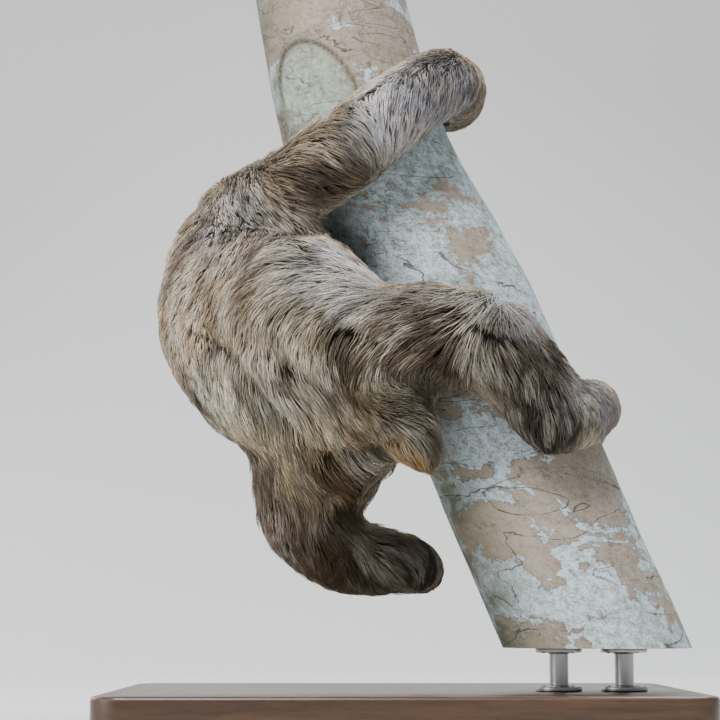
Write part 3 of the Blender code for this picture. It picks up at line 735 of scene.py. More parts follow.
for eye, side in enumerate(("right", "left")):
    middle, gaze = eye_middles[eye], out_of_head(EYE_WAYS[eye]) - HEAD_CENTRE
    bpy.ops.mesh.primitive_uv_sphere_add(segments=64, ring_count=40, radius=EYE_RADIUS, location=middle,
                                         rotation=Vector(gaze).to_track_quat("Z", "Y").to_euler())
    ball = new_piece(f"{side}_eyeball")
    # The cornea stands a little proud of the ball.
    spots = points_of(ball.data)
    off_pupil = np.linalg.norm(spots - (middle + gaze * EYE_RADIUS), axis=1)
    mark(ball.data, "off_pupil", off_pupil)
    put_points(ball.data, spots + gaze * (0.0005 * np.clip(1 - off_pupil / 0.0042, 0, 1) ** 1.5)[:, None])
    bpy.ops.object.shade_smooth()
    ball.data.materials.append(eyeball)
    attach(ball, "root")
    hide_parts(f"eye_{side}")

    # The rim of the lids is a ring bent round the almond between them.
    bpy.ops.mesh.primitive_torus_add(major_segments=72, minor_segments=12, major_radius=1, minor_radius=0.2)
    rim = new_piece(f"{side}_lids")
    spots = points_of(rim.data)
    turn = np.arctan2(spots[:, 1], spots[:, 0])
    outward, raised = (np.hypot(spots[:, 0], spots[:, 1]) - 1) / 0.2, spots[:, 2] / 0.2
    level, upright = eye_sides(eye)
    off = lid_opening(turn) + 0.03 + outward * 0.13
    reach = EYE_RADIUS + 0.0005 + raised * 0.0007
    around_eye = np.cos(turn)[:, None] * level + np.sin(turn)[:, None] * upright
    outward = np.cos(off)[:, None] * EYE_WAYS[eye] + np.sin(off)[:, None] * around_eye
    put_points(rim.data, out_of_head(EYES[eye] + reach[:, None] * outward))
    edit_all(rim, bpy.ops.mesh.normals_make_consistent, inside=False)
    bpy.ops.object.shade_smooth()
    rim.data.materials.append(lid_skin)
    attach(rim, "root")

bpy.ops.mesh.primitive_uv_sphere_add(segments=72, ring_count=48, radius=1)
nose = new_piece("nose_pad")
ball = points_of(nose.data)
spots = NOSE_MIDDLE + ball[:, [2, 0, 1]] * NOSE_HALF * 0.98
spots[:, 0] -= 0.0006 * np.clip(ball[:, 2], 0, 1) ** 2
# A nostril and a fleshy wing on each side, and a fine groove down the middle.
for side in (1, -1):
    apart = np.hypot((spots[:, 1] - side * 0.0044) / 0.0019, (spots[:, 2] + 0.0072) / 0.0013)
    spots[:, 0] -= 0.0030 * np.exp(-(apart**2)) * (ball[:, 2] > 0)
    wing = np.hypot((spots[:, 1] - side * 0.0070) / 0.0018, (spots[:, 2] + 0.0068) / 0.0026)
    spots[:, 0] += 0.0005 * np.exp(-(wing**2)) * (ball[:, 2] > 0)
spots[:, 0] -= 0.0007 * np.exp(-((spots[:, 1] / 0.0007) ** 2)) * (ball[:, 2] > 0) * (spots[:, 2] < -0.004)
put_points(nose.data, out_of_head(spots))
edit_all(nose, bpy.ops.mesh.normals_make_consistent, inside=False)
bpy.ops.object.shade_smooth()
leather, leather_shader, tree = finish("nose_leather", 0.36, Coat_Weight=0.3, Coat_Roughness=0.3)
spot = tree.node("TexCoord", 3)
pebble = spot.node("TexVoronoi", Vector=spot, Scale=1500)
cloudy = spot.noise(260, 4)
tone = (cloudy * 0.8 + pebble * 0.3).step(0.3, 0.9).mix(paint(15, 12, 11), paint(50, 40, 36))
wire(leather_shader, Base_Color=tone)
wire(leather_shader, Roughness=cloudy * 0.25 + 0.24)
relief(leather_shader, pebble * 0.8 + cloudy * 0.5, 0.0004, 0.7)
nose.data.materials.append(leather)
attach(nose, "root")
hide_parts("nose")


# ---- Claws ----
# Three long hooked claws to each hand and foot, of smooth streaked horn that darkens towards the tip. Their
# roots go into the flesh under the coat.
horn, horn_shader, tree = finish("claw_horn", 0.36, Coat_Weight=0.25, Coat_Roughness=0.25)
outward = tree.node("Attribute", 2, {"attribute_name": "out_along"})
stain = tree.node("TexCoord", 3).noise(110, 5, Distortion=0.6)
scratch = tree.node("TexCoord", 3).noise(900, 3)
tone = (outward + stain * 0.7).step(0.35, 1.25).mix(paint(176, 158, 108), paint(58, 44, 32))
wire(horn_shader, Base_Color=(stain * 0.8 + scratch * 0.4).step(0.62, 0.80).mix(tone, paint(104, 82, 54)))
wire(horn_shader, Roughness=scratch * 0.25 + 0.24)
relief(horn_shader, scratch * 0.6 + stain, 0.0004, 0.6)
for name in sorted(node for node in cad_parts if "_claw_" in node):
    claw_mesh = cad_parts[name].data.copy()
    claw = bpy.data.objects.new(f"{name}_horn", claw_mesh)
    claw_mesh.name = claw.name
    claw_mesh.materials.clear()
    bpy.context.scene.collection.objects.link(claw)
    only(claw)
    edit_all(claw, bpy.ops.mesh.remove_doubles, threshold=1e-5)
    apply_modifier(claw, "SUBSURF", levels=2, render_levels=2)
    out = []
    for p in points_of(claw_mesh):
        hit, normal, _, away = flesh.find_nearest(p)
        out.append(0 if (hit - Vector(p)).dot(normal) > 0 else away)
    mark(claw_mesh, "out_along", np.array(out) / max(out))
    bpy.ops.object.shade_smooth()
    claw_mesh.materials.append(horn)
    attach(claw, "root")
    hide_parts(name)


# ---- Coat ----
# Coarse dry hair in thin solid tufts, each rooted in the skin and lying over the next. Long on the flanks,
# thighs and rump, woolly and short on the back, and shortest on the face, hands and feet.

# The lie of the coat on the right side: x and z of a place in centimetres, seen square on, and the way that
# the hair runs there, also in x and z. A tuft follows the strokes nearest to it.
RIGHT_STROKES = (
    # upper arm, down to the elbow
    (-14, 49, 0.8, -0.6), (-11, 51, 1, -0.3), (-7, 53, 1, -0.45), (-10, 48, 1, -0.2), (-7, 50, 0.9, -0.35),
    (-4, 54, 0.9, -0.8), (-3, 53, 0.4, -1), (-5, 51, 0.8, -0.5), (-16, 48, 0.3, -1), (-12, 53, 1, -0.1),
    (-17, 50, 0.5, -1), (-18, 47, 0.1, -1), (-20, 45, -0.1, -1),
    # forearm and hand, falling across the limb and back to the elbow
    (-5, 58, 0.9, -0.6), (-3, 59, 0.5, -1), (-1, 61, 0, -1), (2, 61, -0.25, -1), (4, 62, -0.35, -1),
    (-1, 57, 0, -1), (1, 58, -0.2, -1), (3, 58, -0.5, -1), (-2, 55, 0.1, -1), (-2, 62, -0.2, -0.9),
    (1, 63, -0.3, -0.8), (6, 64, -0.5, -1), (7, 65, -0.5, -0.9), (8, 62, -0.7, -1), (6, 61, -0.6, -1),
    (5, 66, -0.4, -0.8), (7, 59, -0.7, -0.8),
    # from the belly's edge back over the flank, then down and forward again to the hip
    (-1, 42, -1, -0.05), (-5, 44, -1, -0.1), (-10, 45, -1, -0.25), (-12, 46, -0.6, -0.8), (-15, 45, -0.3, -1),
    (-18, 43, -0.3, -1), (-20, 43, -0.2, -1), (-22, 39, -0.1, -1), (-19, 38, 0, -1), (-15, 40, -0.4, -1),
    (-12, 42, -0.8, -0.6), (-8, 41, -1, -0.35), (-4, 40, -1, -0.2), (-13, 36, 0, -1), (-10, 38, -0.5, -0.9),
    (-6, 38, -0.8, -0.6), (-3, 37, -0.9, -0.5), (-10, 34, 0.2, -1), (-6, 34, -0.1, -1), (-4, 34, -0.5, -0.9),
    (-17, 32, 0.25, -1), (-20, 34, 0.1, -1), (-14, 30, 0.5, -1), (-10, 30, 0.8, -0.7), (-6, 31, 0.6, -0.8),
    (-3, 31, 0.1, -1), (-16, 28, 0.3, -1), (-13, 27, -0.2, -1), (-9, 27, 0.7, -0.8), (-5, 28, 0.9, -0.4),
    (-13, 24, 0, -1), (-10, 24, 0.1, -1), (-8, 24, 0.3, -1), (-6, 23, 0.6, -0.8),
    # thigh, towards the body, and the shank below the knee, down to the heel
    (0, 40, -1, -0.15), (3, 39, -1, -0.15), (7, 39, -0.9, -0.3), (0, 36, -1, -0.3), (3, 36, -1, -0.3),
    (6, 37, -1, -0.3), (-1, 34, -0.8, -0.6), (2, 34, -0.8, -0.5), (1, 32, -0.7, -0.8),
    (9, 39, -0.2, -1), (8, 37, -0.4, -1), (10, 37.5, 0.2, -1), (10.5, 38.5, 0.5, -0.9), (7.5, 38, -0.6, -0.8),
    (12, 37, 0.5, -1), (8, 35, 0.5, -0.8), (6, 34, 0.1, -1),
    (6, 32, 0, -1), (9, 32, 0.5, -1), (12, 34, 0.7, -1), (14, 32, 0.5, -1), (12, 30, 0.1, -1),
    (13, 28, 0, -1), (13, 25, 0, -1), (11, 28, -0.1, -1), (15, 27, 0.1, -1), (15, 30, 0.4, -1),
    (17, 31, 0.7, -0.8), (19, 31, 0.7, -0.9), (20, 29, 0.2, -1), (18, 27, 0, -1),
    # tail, out from the whorl at its root
    (-2, 29, 0.9, 0.1), (1, 30, 1, 0), (2, 28, 0.8, -0.5), (0, 27, 0.8, -0.5), (2, 25, 0.3, -1),
    (0, 25, 0.7, -0.8), (-3, 26, 0.2, -1), (1, 24, 0.2, -1),
    # left thigh, knee, shank and foot, seen from within
    (-12, 21, 0.05, -1), (-10, 21, 0.2, -1), (-7, 21, 0.5, -0.9), (-13, 20, -0.3, -0.9), (-13, 18, 0, -1),
    (-11, 16, 0.4, -0.9), (-10, 19, 0.1, -1), (-8, 17, 0.4, -0.9), (-5, 16, 0.7, -0.6), (-3, 17, 0.8, -0.4),
    (-9, 14, 0.1, -1), (-6, 13, 0.1, -1), (-4, 14, 0.4, -0.9), (0, 15, 0.9, -0.3), (1.5, 15, 0.9, -0.4),
    (-1, 13, 0.6, -0.7), (1.5, 13, 0.6, -0.8), (2.8, 15.5, 0.5, -0.9), (2.9, 13.5, 0.2, -1),
)
# The same on the left side, which faces +Y: the upper arm along to the elbow, the forearm down to it, and the
# flank back from the belly and down.
LEFT_STROKES = (
    (-18, 47, 0.6, -1), (-15, 45, 0.9, -0.6), (-11, 45, 1, -0.4), (-7, 45, 0.8, -0.7), (-5, 50, 0, -1),
    (-5, 56, 0, -1), (-5, 62, -0.1, -1), (-4, 67, -0.1, -1), (-3, 70, -0.2, -1),
    (-8, 40, -0.9, -0.5), (-5, 36, -0.9, -0.5), (-12, 40, -0.7, -0.8), (-16, 40, -0.4, -1),
    (-20, 38, -0.1, -1), (-12, 34, -0.5, -0.9), (-17, 33, 0, -1), (-9, 30, -0.3, -1), (-14, 28, 0.1, -1),
    (-10, 24, 0, -1), (-12, 20, 0, -1), (-10, 17, 0.5, -1), (-5, 16, 1, -0.3), (0, 15, 1, -0.3),
    (2.8, 15, 0.2, -1),
    (12, 35, -0.4, -0.9), (14, 31, -0.3, -1), (16, 29, -0.2, -1),
)


def comb(rows, from_y):
    """Stroke places on the skin, found by looking along Y from one side, and their ways in space."""
    places = []
    for x, z, *_ in rows:
        hit = outline.ray_cast(Vector((x / 100, from_y, z / 100)), Vector((0, -from_y, 0)))[0]
        places.append(hit or outline.find_nearest(Vector((x / 100, 0.1 * from_y, z / 100)))[0])
    return np.array(places), unit(np.array([(way_x, 0.0, way_z) for _, _, way_x, way_z in rows]))


def nearest_in(tree, points):
    """For each place, the number of the nearest place in the tree."""
    return np.array([tree.find(p)[1] for p in points])


both_sides = comb(RIGHT_STROKES, -1), comb(LEFT_STROKES, 1)
stroke_places, stroke_ways = (np.vstack(pair) for pair in zip(*both_sides))
outline_tree = tree_of(outline_points)
stroke_at = nearest_in(outline_tree, stroke_places)
outline_normals = -inwards
stroke_normals, stroke_parts = outline_normals[stroke_at], body_part[stroke_at]

# Every place on the skin takes the ways of the strokes near it, mostly of those on the same side and the
# same part of the body.
lie = np.zeros_like(outline_points)
for start in range(0, len(lie), 8000):
    rows = slice(start, start + 8000)
    apart = ((outline_points[rows, None] - stroke_places) ** 2).sum(2)
    facing = np.clip(outline_normals[rows] @ stroke_normals.T + 0.35, 0.03, 1)
    same = np.where(body_part[rows, None] == stroke_parts, 1.0, 0.12)
    pull = facing * same / (apart + 0.012**2) ** 2
    lie[rows] = pull @ stroke_ways / pull.sum(1)[:, None]
# On the head the hair runs back from the nose, and on its sides down as well.
head_way = -HEAD_FORWARD - 0.55 * HEAD_UP * (np.abs(place[:, 1:2]) > 0.012)
head_way = head_way + 0.1 * np.sign(place[:, 1:2]) * HEAD_SIDE
off_eye = place - np.where(place[:, 1:2] > 0, EYES[0], EYES[1])
away = unit(off_eye) @ np.array([HEAD_FORWARD, HEAD_SIDE, HEAD_UP])
head_way = head_way + 1.6 * away * np.exp(-((off_eyes(place)[:, None] / 0.012) ** 2))
lie[on_head] = head_way[on_head]
lie = unit(lie + 0.22 * np.column_stack([ripple(outline_points, 0.05, seed, 2) for seed in (21, 22, 23)]))
lie = even_out(lie, skin_edges, 8)
skin_normals = normals_of(skin.data)
surface = points_of(skin.data)


def dot(a, b):
    """The products of like rows, as a column."""
    return (a * b).sum(1)[:, None]


for _ in range(4):
    lie = even_out(unit(lie - dot(lie, skin_normals) * skin_normals), skin_edges, 5)
lie = unit(lie - dot(lie, skin_normals) * skin_normals)
# Where ways meet or part the hair is short and stands in every direction, as wool does.
woolly = np.clip((0.95 - np.linalg.norm(even_out(lie, skin_edges, 24), axis=1)) / 0.25, 0, 1)

# Folds of the loose hide, as x and z along each on the right side. The coat above a fold ends in a free edge
# that hangs over it, paler there as a painted highlight, and below it the coat starts deeper and darker with
# painted shade. The last number is how deep, out of 1.
FOLDS = (
    (((-19.5, 36.5), (-16.8, 34.6), (-14.5, 31.8), (-12.8, 29.2), (-10.6, 27), (-8.4, 25.2)), 1.0),
    (((-16.5, 35.5), (-12.8, 34.2), (-9.2, 32.2), (-6.5, 30), (-3, 28.4)), 0.75),
    (((-1, 31.3), (3, 31.3), (4.7, 29.6)), 0.9),
    (((5.8, 38.8), (6.3, 37.3), (9.8, 35.5), (11.2, 35.5)), 0.45),
    (((-14, 48.6), (-9.6, 47.2), (-7.0, 46.6)), 0.8),
    (((-12.5, 20.5), (-10.6, 19.2), (-9.6, 17), (-9.3, 15.2)), 0.8),
    (((-9.5, 24.6), (-6.5, 24.2), (-3.5, 24.8), (-2, 25.6)), 1.0),
    (((-5.5, 37.4), (-1.5, 35), (2.5, 34)), 0.45),
    (((-2.5, 54), (-3, 57)), 0.5),
)
fold_places, fold_ways, fold_deep = [], [], []
for fold, deep in FOLDS:
    runs = np.array(fold, float).T
    spots = np.linspace(0, len(fold) - 1, 8 * len(fold))
    rows = [[np.interp(spot, range(len(fold)), run) for run in runs] + [1, 0] for spot in spots]
    line = comb(rows, -1)[0]
    fold_places.append(line)
    fold_ways.append(unit(np.gradient(line, axis=0)))
    fold_deep.append(deep * np.clip(np.minimum(spots, spots[-1] - spots) / 0.5, 0.15, 1))
fold_places, fold_ways, fold_deep = np.vstack(fold_places), np.vstack(fold_ways), np.concatenate(fold_deep)
fold_tree = tree_of(fold_places)
nearest_fold = nearest_in(fold_tree, outline_points)
off_fold = np.array([fold_tree.find(p)[2] for p in outline_points])
# Upstream is the side that the coat comes from.
down_fold = np.cross(outline_normals, fold_ways[nearest_fold])
down_fold *= np.sign(dot(down_fold, lie))
below_fold = dot(outline_points - fold_places[nearest_fold], down_fold)[:, 0]
deep = fold_deep[nearest_fold]
near_fold = np.exp(-((np.maximum(off_fold - np.abs(below_fold), 0) / 0.010) ** 2)) * deep
sunk = near_fold * np.clip((below_fold + 0.001) / 0.003, 0, 1)
sunk *= np.clip(1 - below_fold / 0.026, 0, 1) ** 1.2
proud = near_fold * np.clip(1 - np.abs(below_fold + 0.010) / 0.012, 0, 1)
crest = even_out(1 - 0.80 * sunk + 0.05 * proud, skin_edges, 1)
sunk = even_out(sunk, skin_edges, 1)

# Streaks in the coat: chance tints carried along the way that it lies.
STREAK_STEP = 0.006
onward_at = nearest_in(outline_tree, outline_points + STREAK_STEP * lie)
back_at = nearest_in(outline_tree, outline_points - STREAK_STEP * lie)


def streaks(seed, rounds, spread):
    """A chance value at each place, alike along the lie of the coat and different across it."""
    values = even_out(np.random.default_rng(seed).normal(size=len(outline_points)), skin_edges, spread)
    for _ in range(rounds):
        values = (values + values[onward_at] + values[back_at]) / 3
    return (values - values.mean()) / values.std()


fine_streak, broad_streak = streaks(51, 5, 1), streaks(52, 8, 12)

# For each part of the body: how long the hair is and how wide a tuft, both in millimetres, and how far the
# tufts stray in colour.
HAIR = {"head": (20, 0.75, 0.45), "neck": (26, 0.85, 1), "torso": (42, 0.95, 1), "tail": (26, 0.80, 0.40),
        "upper_arm": (32, 0.85, 0.9), "forearm": (28, 0.80, 0.8), "hand": (15, 0.65, 0.7),
        "thigh": (40, 0.90, 0.8), "shank": (26, 0.75, 0.55), "foot": (15, 0.65, 0.6)}
length_of, width_of, stray_of = (np.array([HAIR[name][k] for name in plain_part]) for k in range(3))
length_here, width_here = length_of[body_part] / 1000, width_of[body_part] / 1000
back_side = on_back(outline_points, body_part)
length_here *= (1 - 0.48 * back_side) * (1 - 0.38 * woolly)
width_here *= 1 - 0.12 * back_side
face_front = np.clip((place[:, 0] + 0.004) / 0.022, 0, 1) * on_head
length_here += face_front * (0.0070 * np.clip(nearest_bare / 0.011, 0.35, 1) - length_here)
width_here = width_here * (1 - face_front) + 0.00032 * face_front
length_here, width_here = even_out(np.column_stack([length_here, width_here]), skin_edges, 8).T

# Markings and painted light: every colour is laid on in soft-edged patches, some of which paint light on tops
# and shade below: x and z of the middle in centimetres, seen square on from the right side or the left, its
# reach, its colour and how strongly it covers.
DARK, BASE, PALE = paint(66, 52, 41), paint(168, 153, 132), paint(240, 231, 213)
RIGHT_PATCHES = (
    # upper arm, elbow, forearm and hand, with painted cool light on the tops of the forearm and hand
    (-10, 51, 5.0, (120, 102, 84), 0.70), (-6, 49, 3.5, (116, 92, 68), 0.65),
    (-4, 53, 3.5, (118, 98, 76), 0.60), (-1, 59.5, 5.5, (224, 223, 230), 0.88),
    (3, 63, 4.0, (186, 184, 190), 0.75), (7, 63, 4.0, (160, 156, 162), 0.80),
    # back and shoulder, with painted sunlight on the shoulder and on the pale side of the rump
    (-15, 46.5, 4.5, (206, 198, 192), 0.70), (-20, 44, 5.0, (206, 190, 174), 0.70),
    (-21, 38, 5.0, (206, 190, 164), 0.75), (-19, 33, 4.0, (214, 200, 174), 0.75),
    (-16, 30, 5.0, (248, 240, 222), 0.94), (-13.5, 26.5, 4.5, (232, 216, 182), 0.85),
    (-16.5, 49, 3.5, (222, 216, 212), 0.60),
    # flank: pale by the belly, darker below
    (-9, 44, 4.0, (204, 196, 180), 0.60), (-4, 42, 4.5, (224, 224, 226), 0.80),
    (-11, 38, 4.0, (190, 178, 156), 0.50), (-7, 37, 3.5, (150, 134, 112), 0.60),
    (-9, 33, 3.5, (142, 126, 102), 0.60), (-4, 33, 3.5, (110, 98, 72), 0.80),
    # thigh: painted light above, and painted shade in the brown below
    (2, 40, 3.5, (176, 168, 162), 0.60), (7, 39, 3.5, (186, 182, 182), 0.60),
    (3, 35, 4.5, (80, 66, 52), 0.90), (7.5, 34, 3.8, (86, 73, 59), 0.88),
    # shank, heel and foot: painted light on the tops of the knee and foot, painted shade on the shank and
    # heel
    (10, 34.5, 3.5, (92, 80, 68), 0.80),
    (11, 38, 3.0, (180, 178, 180), 0.60), (13, 33, 4.0, (76, 66, 57), 0.90),
    (13, 28, 5.5, (52, 44, 38), 0.97), (17, 31, 3.0, (150, 146, 150), 0.70),
    (20, 30, 3.5, (146, 142, 148), 0.80),
    # tail: greenish, with a gold fringe
    (-1, 30, 3.5, (82, 76, 57), 0.85), (2, 27.5, 3.5, (68, 62, 47), 0.92),
    (-1.5, 25, 1.6, (172, 134, 82), 0.75), (0.5, 23.6, 1.6, (210, 168, 104), 0.95),
    # rump, left thigh, the dark hollow painted as shadow, knee, shank and foot
    (-10, 26.5, 4.0, (206, 188, 156), 0.75), (-6, 26, 3.0, (120, 104, 78), 0.60),
    (-8, 22, 4.0, (122, 92, 54), 0.80), (-3.5, 22, 2.8, (36, 27, 20), 1.0),
    (-5, 20, 2.2, (44, 33, 24), 0.85), (-13.5, 19, 3.2, (158, 142, 132), 0.80),
    (-10, 17.5, 2.2, (66, 52, 42), 0.60), (-7, 15.5, 4.0, (84, 70, 50), 0.80),
    (-2, 15, 4.0, (70, 60, 48), 0.85), (3, 15, 4.5, (56, 49, 41), 0.90),
)
LEFT_PATCHES = (
    (-18, 44, 5.0, (172, 158, 140), 0.60), (-12, 45, 4.5, (150, 134, 112), 0.50),
    (-5, 50, 4.5, (120, 100, 78), 0.60), (-5, 60, 5.0, (160, 152, 146), 0.60),
    (-4, 68, 5.0, (140, 134, 132), 0.80), (-20, 38, 5.0, (206, 190, 164), 0.60),
    (-15, 33, 5.0, (214, 200, 174), 0.60), (-9, 38, 4.5, (206, 198, 184), 0.60),
    (-10, 26, 4.5, (160, 142, 112), 0.60), (-10, 21, 4.0, (120, 96, 64), 0.70),
    (-13, 18, 3.5, (150, 134, 124), 0.70), (-5, 15, 4.5, (84, 70, 52), 0.80),
    (3, 15, 4.5, (60, 52, 43), 0.90),
)
patch_middles = np.vstack([comb([(x, z, 1, 0) for x, z, *_ in rows], from_y)[0]
                           for rows, from_y in ((RIGHT_PATCHES, -1), (LEFT_PATCHES, 1))])


def markings_and_painted_light(points, parts):
    """The middle colour of the coat at each place, painted light and shade included, and how far its tufts
    stray from it.
    """
    colour = np.tile(np.array(BASE[:3]), (len(points), 1))
    ragged = 0.18 * ripple(points, 0.04, 31, 2)
    for middle, (_, _, reach, tint, strength) in zip(patch_middles, RIGHT_PATCHES + LEFT_PATCHES):
        apart = np.linalg.norm(points - middle, axis=1) * 100 / reach + ragged
        share = strength * np.clip(1.5 - apart, 0, 1) ** 1.3
        colour += share[:, None] * (np.array(paint(*tint)[:3]) - colour)
    mottle = 0.24 * ripple(points, 0.055, 33, 4) + 0.12 * ripple(points, 0.016, 34, 2)
    colour *= (1 + np.clip(mottle, -0.5, 0.5))[:, None]
    warm = ripple(points, 0.09, 35, 2) * 0.05
    colour *= np.column_stack([1 + warm, np.ones(len(warm)), 1 - 1.4 * warm])
    # The face: pale, with a dark stripe back from each eye, a dark brow fringe and a brown throat.
    spot = in_head(points)
    forward, out, up = spot[:, 0], np.abs(spot[:, 1]), spot[:, 2]
    head = parts == 0
    near = np.clip(forward / 0.014, 0, 1) * head
    behind = 0.024 - forward
    wide = 0.0066 + 0.13 * np.clip(behind, 0, 1)
    stripe = np.clip(1.7 - np.abs(up - 0.0035 + 0.16 * behind) / wide, 0, 1)
    stripe *= np.clip((out - 0.0150) / 0.004, 0, 1) * np.clip((forward + 0.030) / 0.010, 0, 1)
    round_eyes = np.minimum(*(np.linalg.norm((spot - eye) * (1, 1, 1.25), axis=1) for eye in EYES))
    stripe = np.maximum(stripe, np.clip(1.9 - round_eyes / 0.0090, 0, 1)) * head
    brow = np.clip(1.6 - np.abs(np.hypot(up - 0.026, forward - 0.018)) / 0.012, 0, 1) * head
    below = np.clip(1.7 - np.linalg.norm(spot - (0.004, 0, -0.056), axis=1) / 0.034, 0, 1) * (parts <= 1)
    throat = np.clip((-0.020 - up) / 0.008, 0, 1) * np.clip((0.034 - forward) / 0.010, 0, 1) * below
    off_muzzle = np.linalg.norm((spot - (0.050, 0, -0.009)) * (1, 0.8, 1), axis=1)
    muzzle = np.clip(1.6 - off_muzzle / 0.0105, 0, 1) * head
    for share, tint in ((near * 0.88, (222, 207, 178)), (0.97 * stripe, (40, 28, 21)),
                        (0.55 * brow, (124, 100, 74)), (0.85 * throat, (118, 84, 54)),
                        (0.75 * muzzle, (84, 66, 54))):
        colour += share[:, None] * (np.array(paint(*tint)[:3]) - colour)
    return colour, stray_of[parts] * (1 - 0.5 * near)


# Where each tuft stands: evenly over the skin, closer together where the hair is fine.
skin.data.calc_loop_triangles()
corners = read(skin.data.loop_triangles, "vertices", 3, int)
a, b, c = (surface[corners[:, k]] for k in range(3))
areas = np.linalg.norm(np.cross(b - a, c - a), axis=1) / 2
crowd = (0.0010 / width_here) ** 1.1 * np.where(on_head, 1.6, 1)
crowd[pressed | (depth < 0.0026) | bare] = 0
weight = areas * crowd[corners].mean(1)
TUFTS = 88000
dice = np.random.default_rng(7)
steps = (np.arange(TUFTS) + dice.random(TUFTS)) / TUFTS * weight.sum()
chosen = np.searchsorted(np.cumsum(weight), steps).clip(0, len(weight) - 1)
mix = dice.dirichlet((1, 1, 1), TUFTS)
trio = corners[chosen]


def at_roots(values):
    return (values[trio] * mix.reshape(mix.shape + (1,) * (values.ndim - 1))).sum(1)


root, up_way, hair_way = at_roots(surface), unit(at_roots(skin_normals)), at_roots(lie)
thick, length, width = at_roots(depth), at_roots(length_here), at_roots(width_here)
part_at = body_part[trio[:, 0]]

# Locks: each tuft leans towards the leader of its lock, more and more to the tip. Locks gather in clumps.
TUFTS_IN_LOCK, LOCKS_IN_CLUMP = 11, 7
leaders = dice.choice(TUFTS, TUFTS // TUFTS_IN_LOCK, replace=False)
lock = nearest_in(tree_of(root[leaders]), root)
sway = dice.normal(size=(len(leaders), 3)) * 0.17
wool = at_roots(np.maximum(woolly, 0.35 * back_side))
own_way = dice.normal(size=(TUFTS, 3)) * (0.10 + 0.16 * wool)[:, None]
hair_way = unit(hair_way + sway[lock] * (1 + 0.5 * wool)[:, None] + own_way)
lock_rise = dice.uniform(0.80, 1.0, len(leaders))[lock] * dice.uniform(0.78, 1.02, TUFTS)
lock_tint = dice.normal(size=len(leaders))[lock]
clumps = dice.choice(len(leaders), len(leaders) // LOCKS_IN_CLUMP, replace=False)
clump = nearest_in(tree_of(root[leaders[clumps]]), root[leaders])[lock]
lock_tint = 0.6 * lock_tint + 0.8 * dice.normal(size=len(clumps))[clump]
length = length * dice.uniform(0.75, 1.15, TUFTS)

# A tuft that would cross a fold ends just past it.
skin_tree = tree_of(surface)
tips = nearest_in(skin_tree, root + hair_way * (length * 0.85)[:, None])
start_below, end_below, held = at_roots(below_fold), below_fold[tips], at_roots(near_fold)
crosses = (start_below < 0) & (end_below > 0.004) & (start_below > -0.05)
crosses &= np.maximum(held, near_fold[tips]) > 0.12
cut = np.where(crosses, (0.005 - start_below) / np.maximum(end_below - start_below, 1e-4), 1.0)
length *= np.clip(cut + dice.uniform(-0.06, 0.12, TUFTS) * crosses, 0.22, 1)

# Each tuft's path from ring to ring, along the lie of the coat. The rings' places are shares of its length,
# and for each: how far up through the coat it is, how strongly it follows its lock, how thick the tuft is
# there and how light, darkest at the root as painted shade deep in the coat.
RINGS = (0.0, 0.34, 0.68, 1.0)
RISE = (0.0, 0.70, 0.95, 0.98)
FOLLOW = (0.0, 0.12, 0.32, 0.52)
SWELL = (0.65, 1.0, 0.62, 0.0)
SHADED_ROOT_TO_TIP = (0.50, 0.82, 1.0, 1.10)
ROOT_SUNK, SAG = 0.0012, 0.10
path = [root - up_way * ROOT_SUNK]
way, at = hair_way, root
for ring, rise, before in zip(RINGS[1:], RISE[1:], RINGS):
    at = at + way * (length * (ring - before))[:, None]
    near = nearest_in(skin_tree, at)
    out = skin_normals[near]
    want = (depth[near] * crest[near] * 0.7 + thick * 0.3 * crest[near]) * rise * lock_rise
    at = at + out * (want[:, None] - dot(at - surface[near], out))
    path.append(at)
    way = 0.55 * way + 0.45 * lie[near] + np.array((0, 0, -SAG)) + dice.normal(size=(TUFTS, 3)) * 0.07
    way = unit(way)
    way = unit(way - dot(way, out) * out * 0.8)
path = np.stack(path, 1)
leader_path = path[leaders][lock]
pull = np.array(FOLLOW)[None, :, None] * dice.uniform(0.5, 1.0, TUFTS)[:, None, None]
drift = (path[:, :1] - leader_path[:, :1]) * 0.30
path += pull * (leader_path + drift - path)

# One tuft is modelled, closed and three-sided, and every other is a copy laid along its own path.
bpy.ops.mesh.primitive_cone_add(vertices=3, radius1=1, radius2=0, depth=1, location=(0, 0, 0.5))
tuft = new_piece("tuft")
for ring in RINGS[1:3]:
    edit_all(tuft, bpy.ops.mesh.bisect, plane_co=(0, 0, ring), plane_no=(0, 0, 1))
shape = points_of(tuft.data)
shape_ring = np.abs(shape[:, 2:3] - np.array(RINGS)).argmin(1)
shape_turn = np.arctan2(shape[:, 1], shape[:, 0])
swell = np.array(SWELL)[shape_ring]
face_sizes = np.array([len(face) for face in faces_of(tuft.data)])
face_corners = np.concatenate(faces_of(tuft.data))
bpy.data.objects.remove(tuft)

# The frame of each ring: across the tuft and up from the skin.
onward = unit(np.stack([path[:, 1] - path[:, 0], path[:, 2] - path[:, 0], path[:, 3] - path[:, 1],
                        path[:, 3] - path[:, 2]], 1))
across = unit(np.cross(onward, up_way[:, None]))
lift = np.cross(across, onward)
radius = (width / 1.73)[:, None] * swell[None] * dice.uniform(0.75, 1.2, TUFTS)[:, None]
turned = dice.uniform(0, 2.1, TUFTS)[:, None] + shape_turn[None]
tuft_points = (path[:, shape_ring] + across[:, shape_ring] * (np.cos(turned) * radius)[..., None]
               + lift[:, shape_ring] * (np.sin(turned) * radius)[..., None])
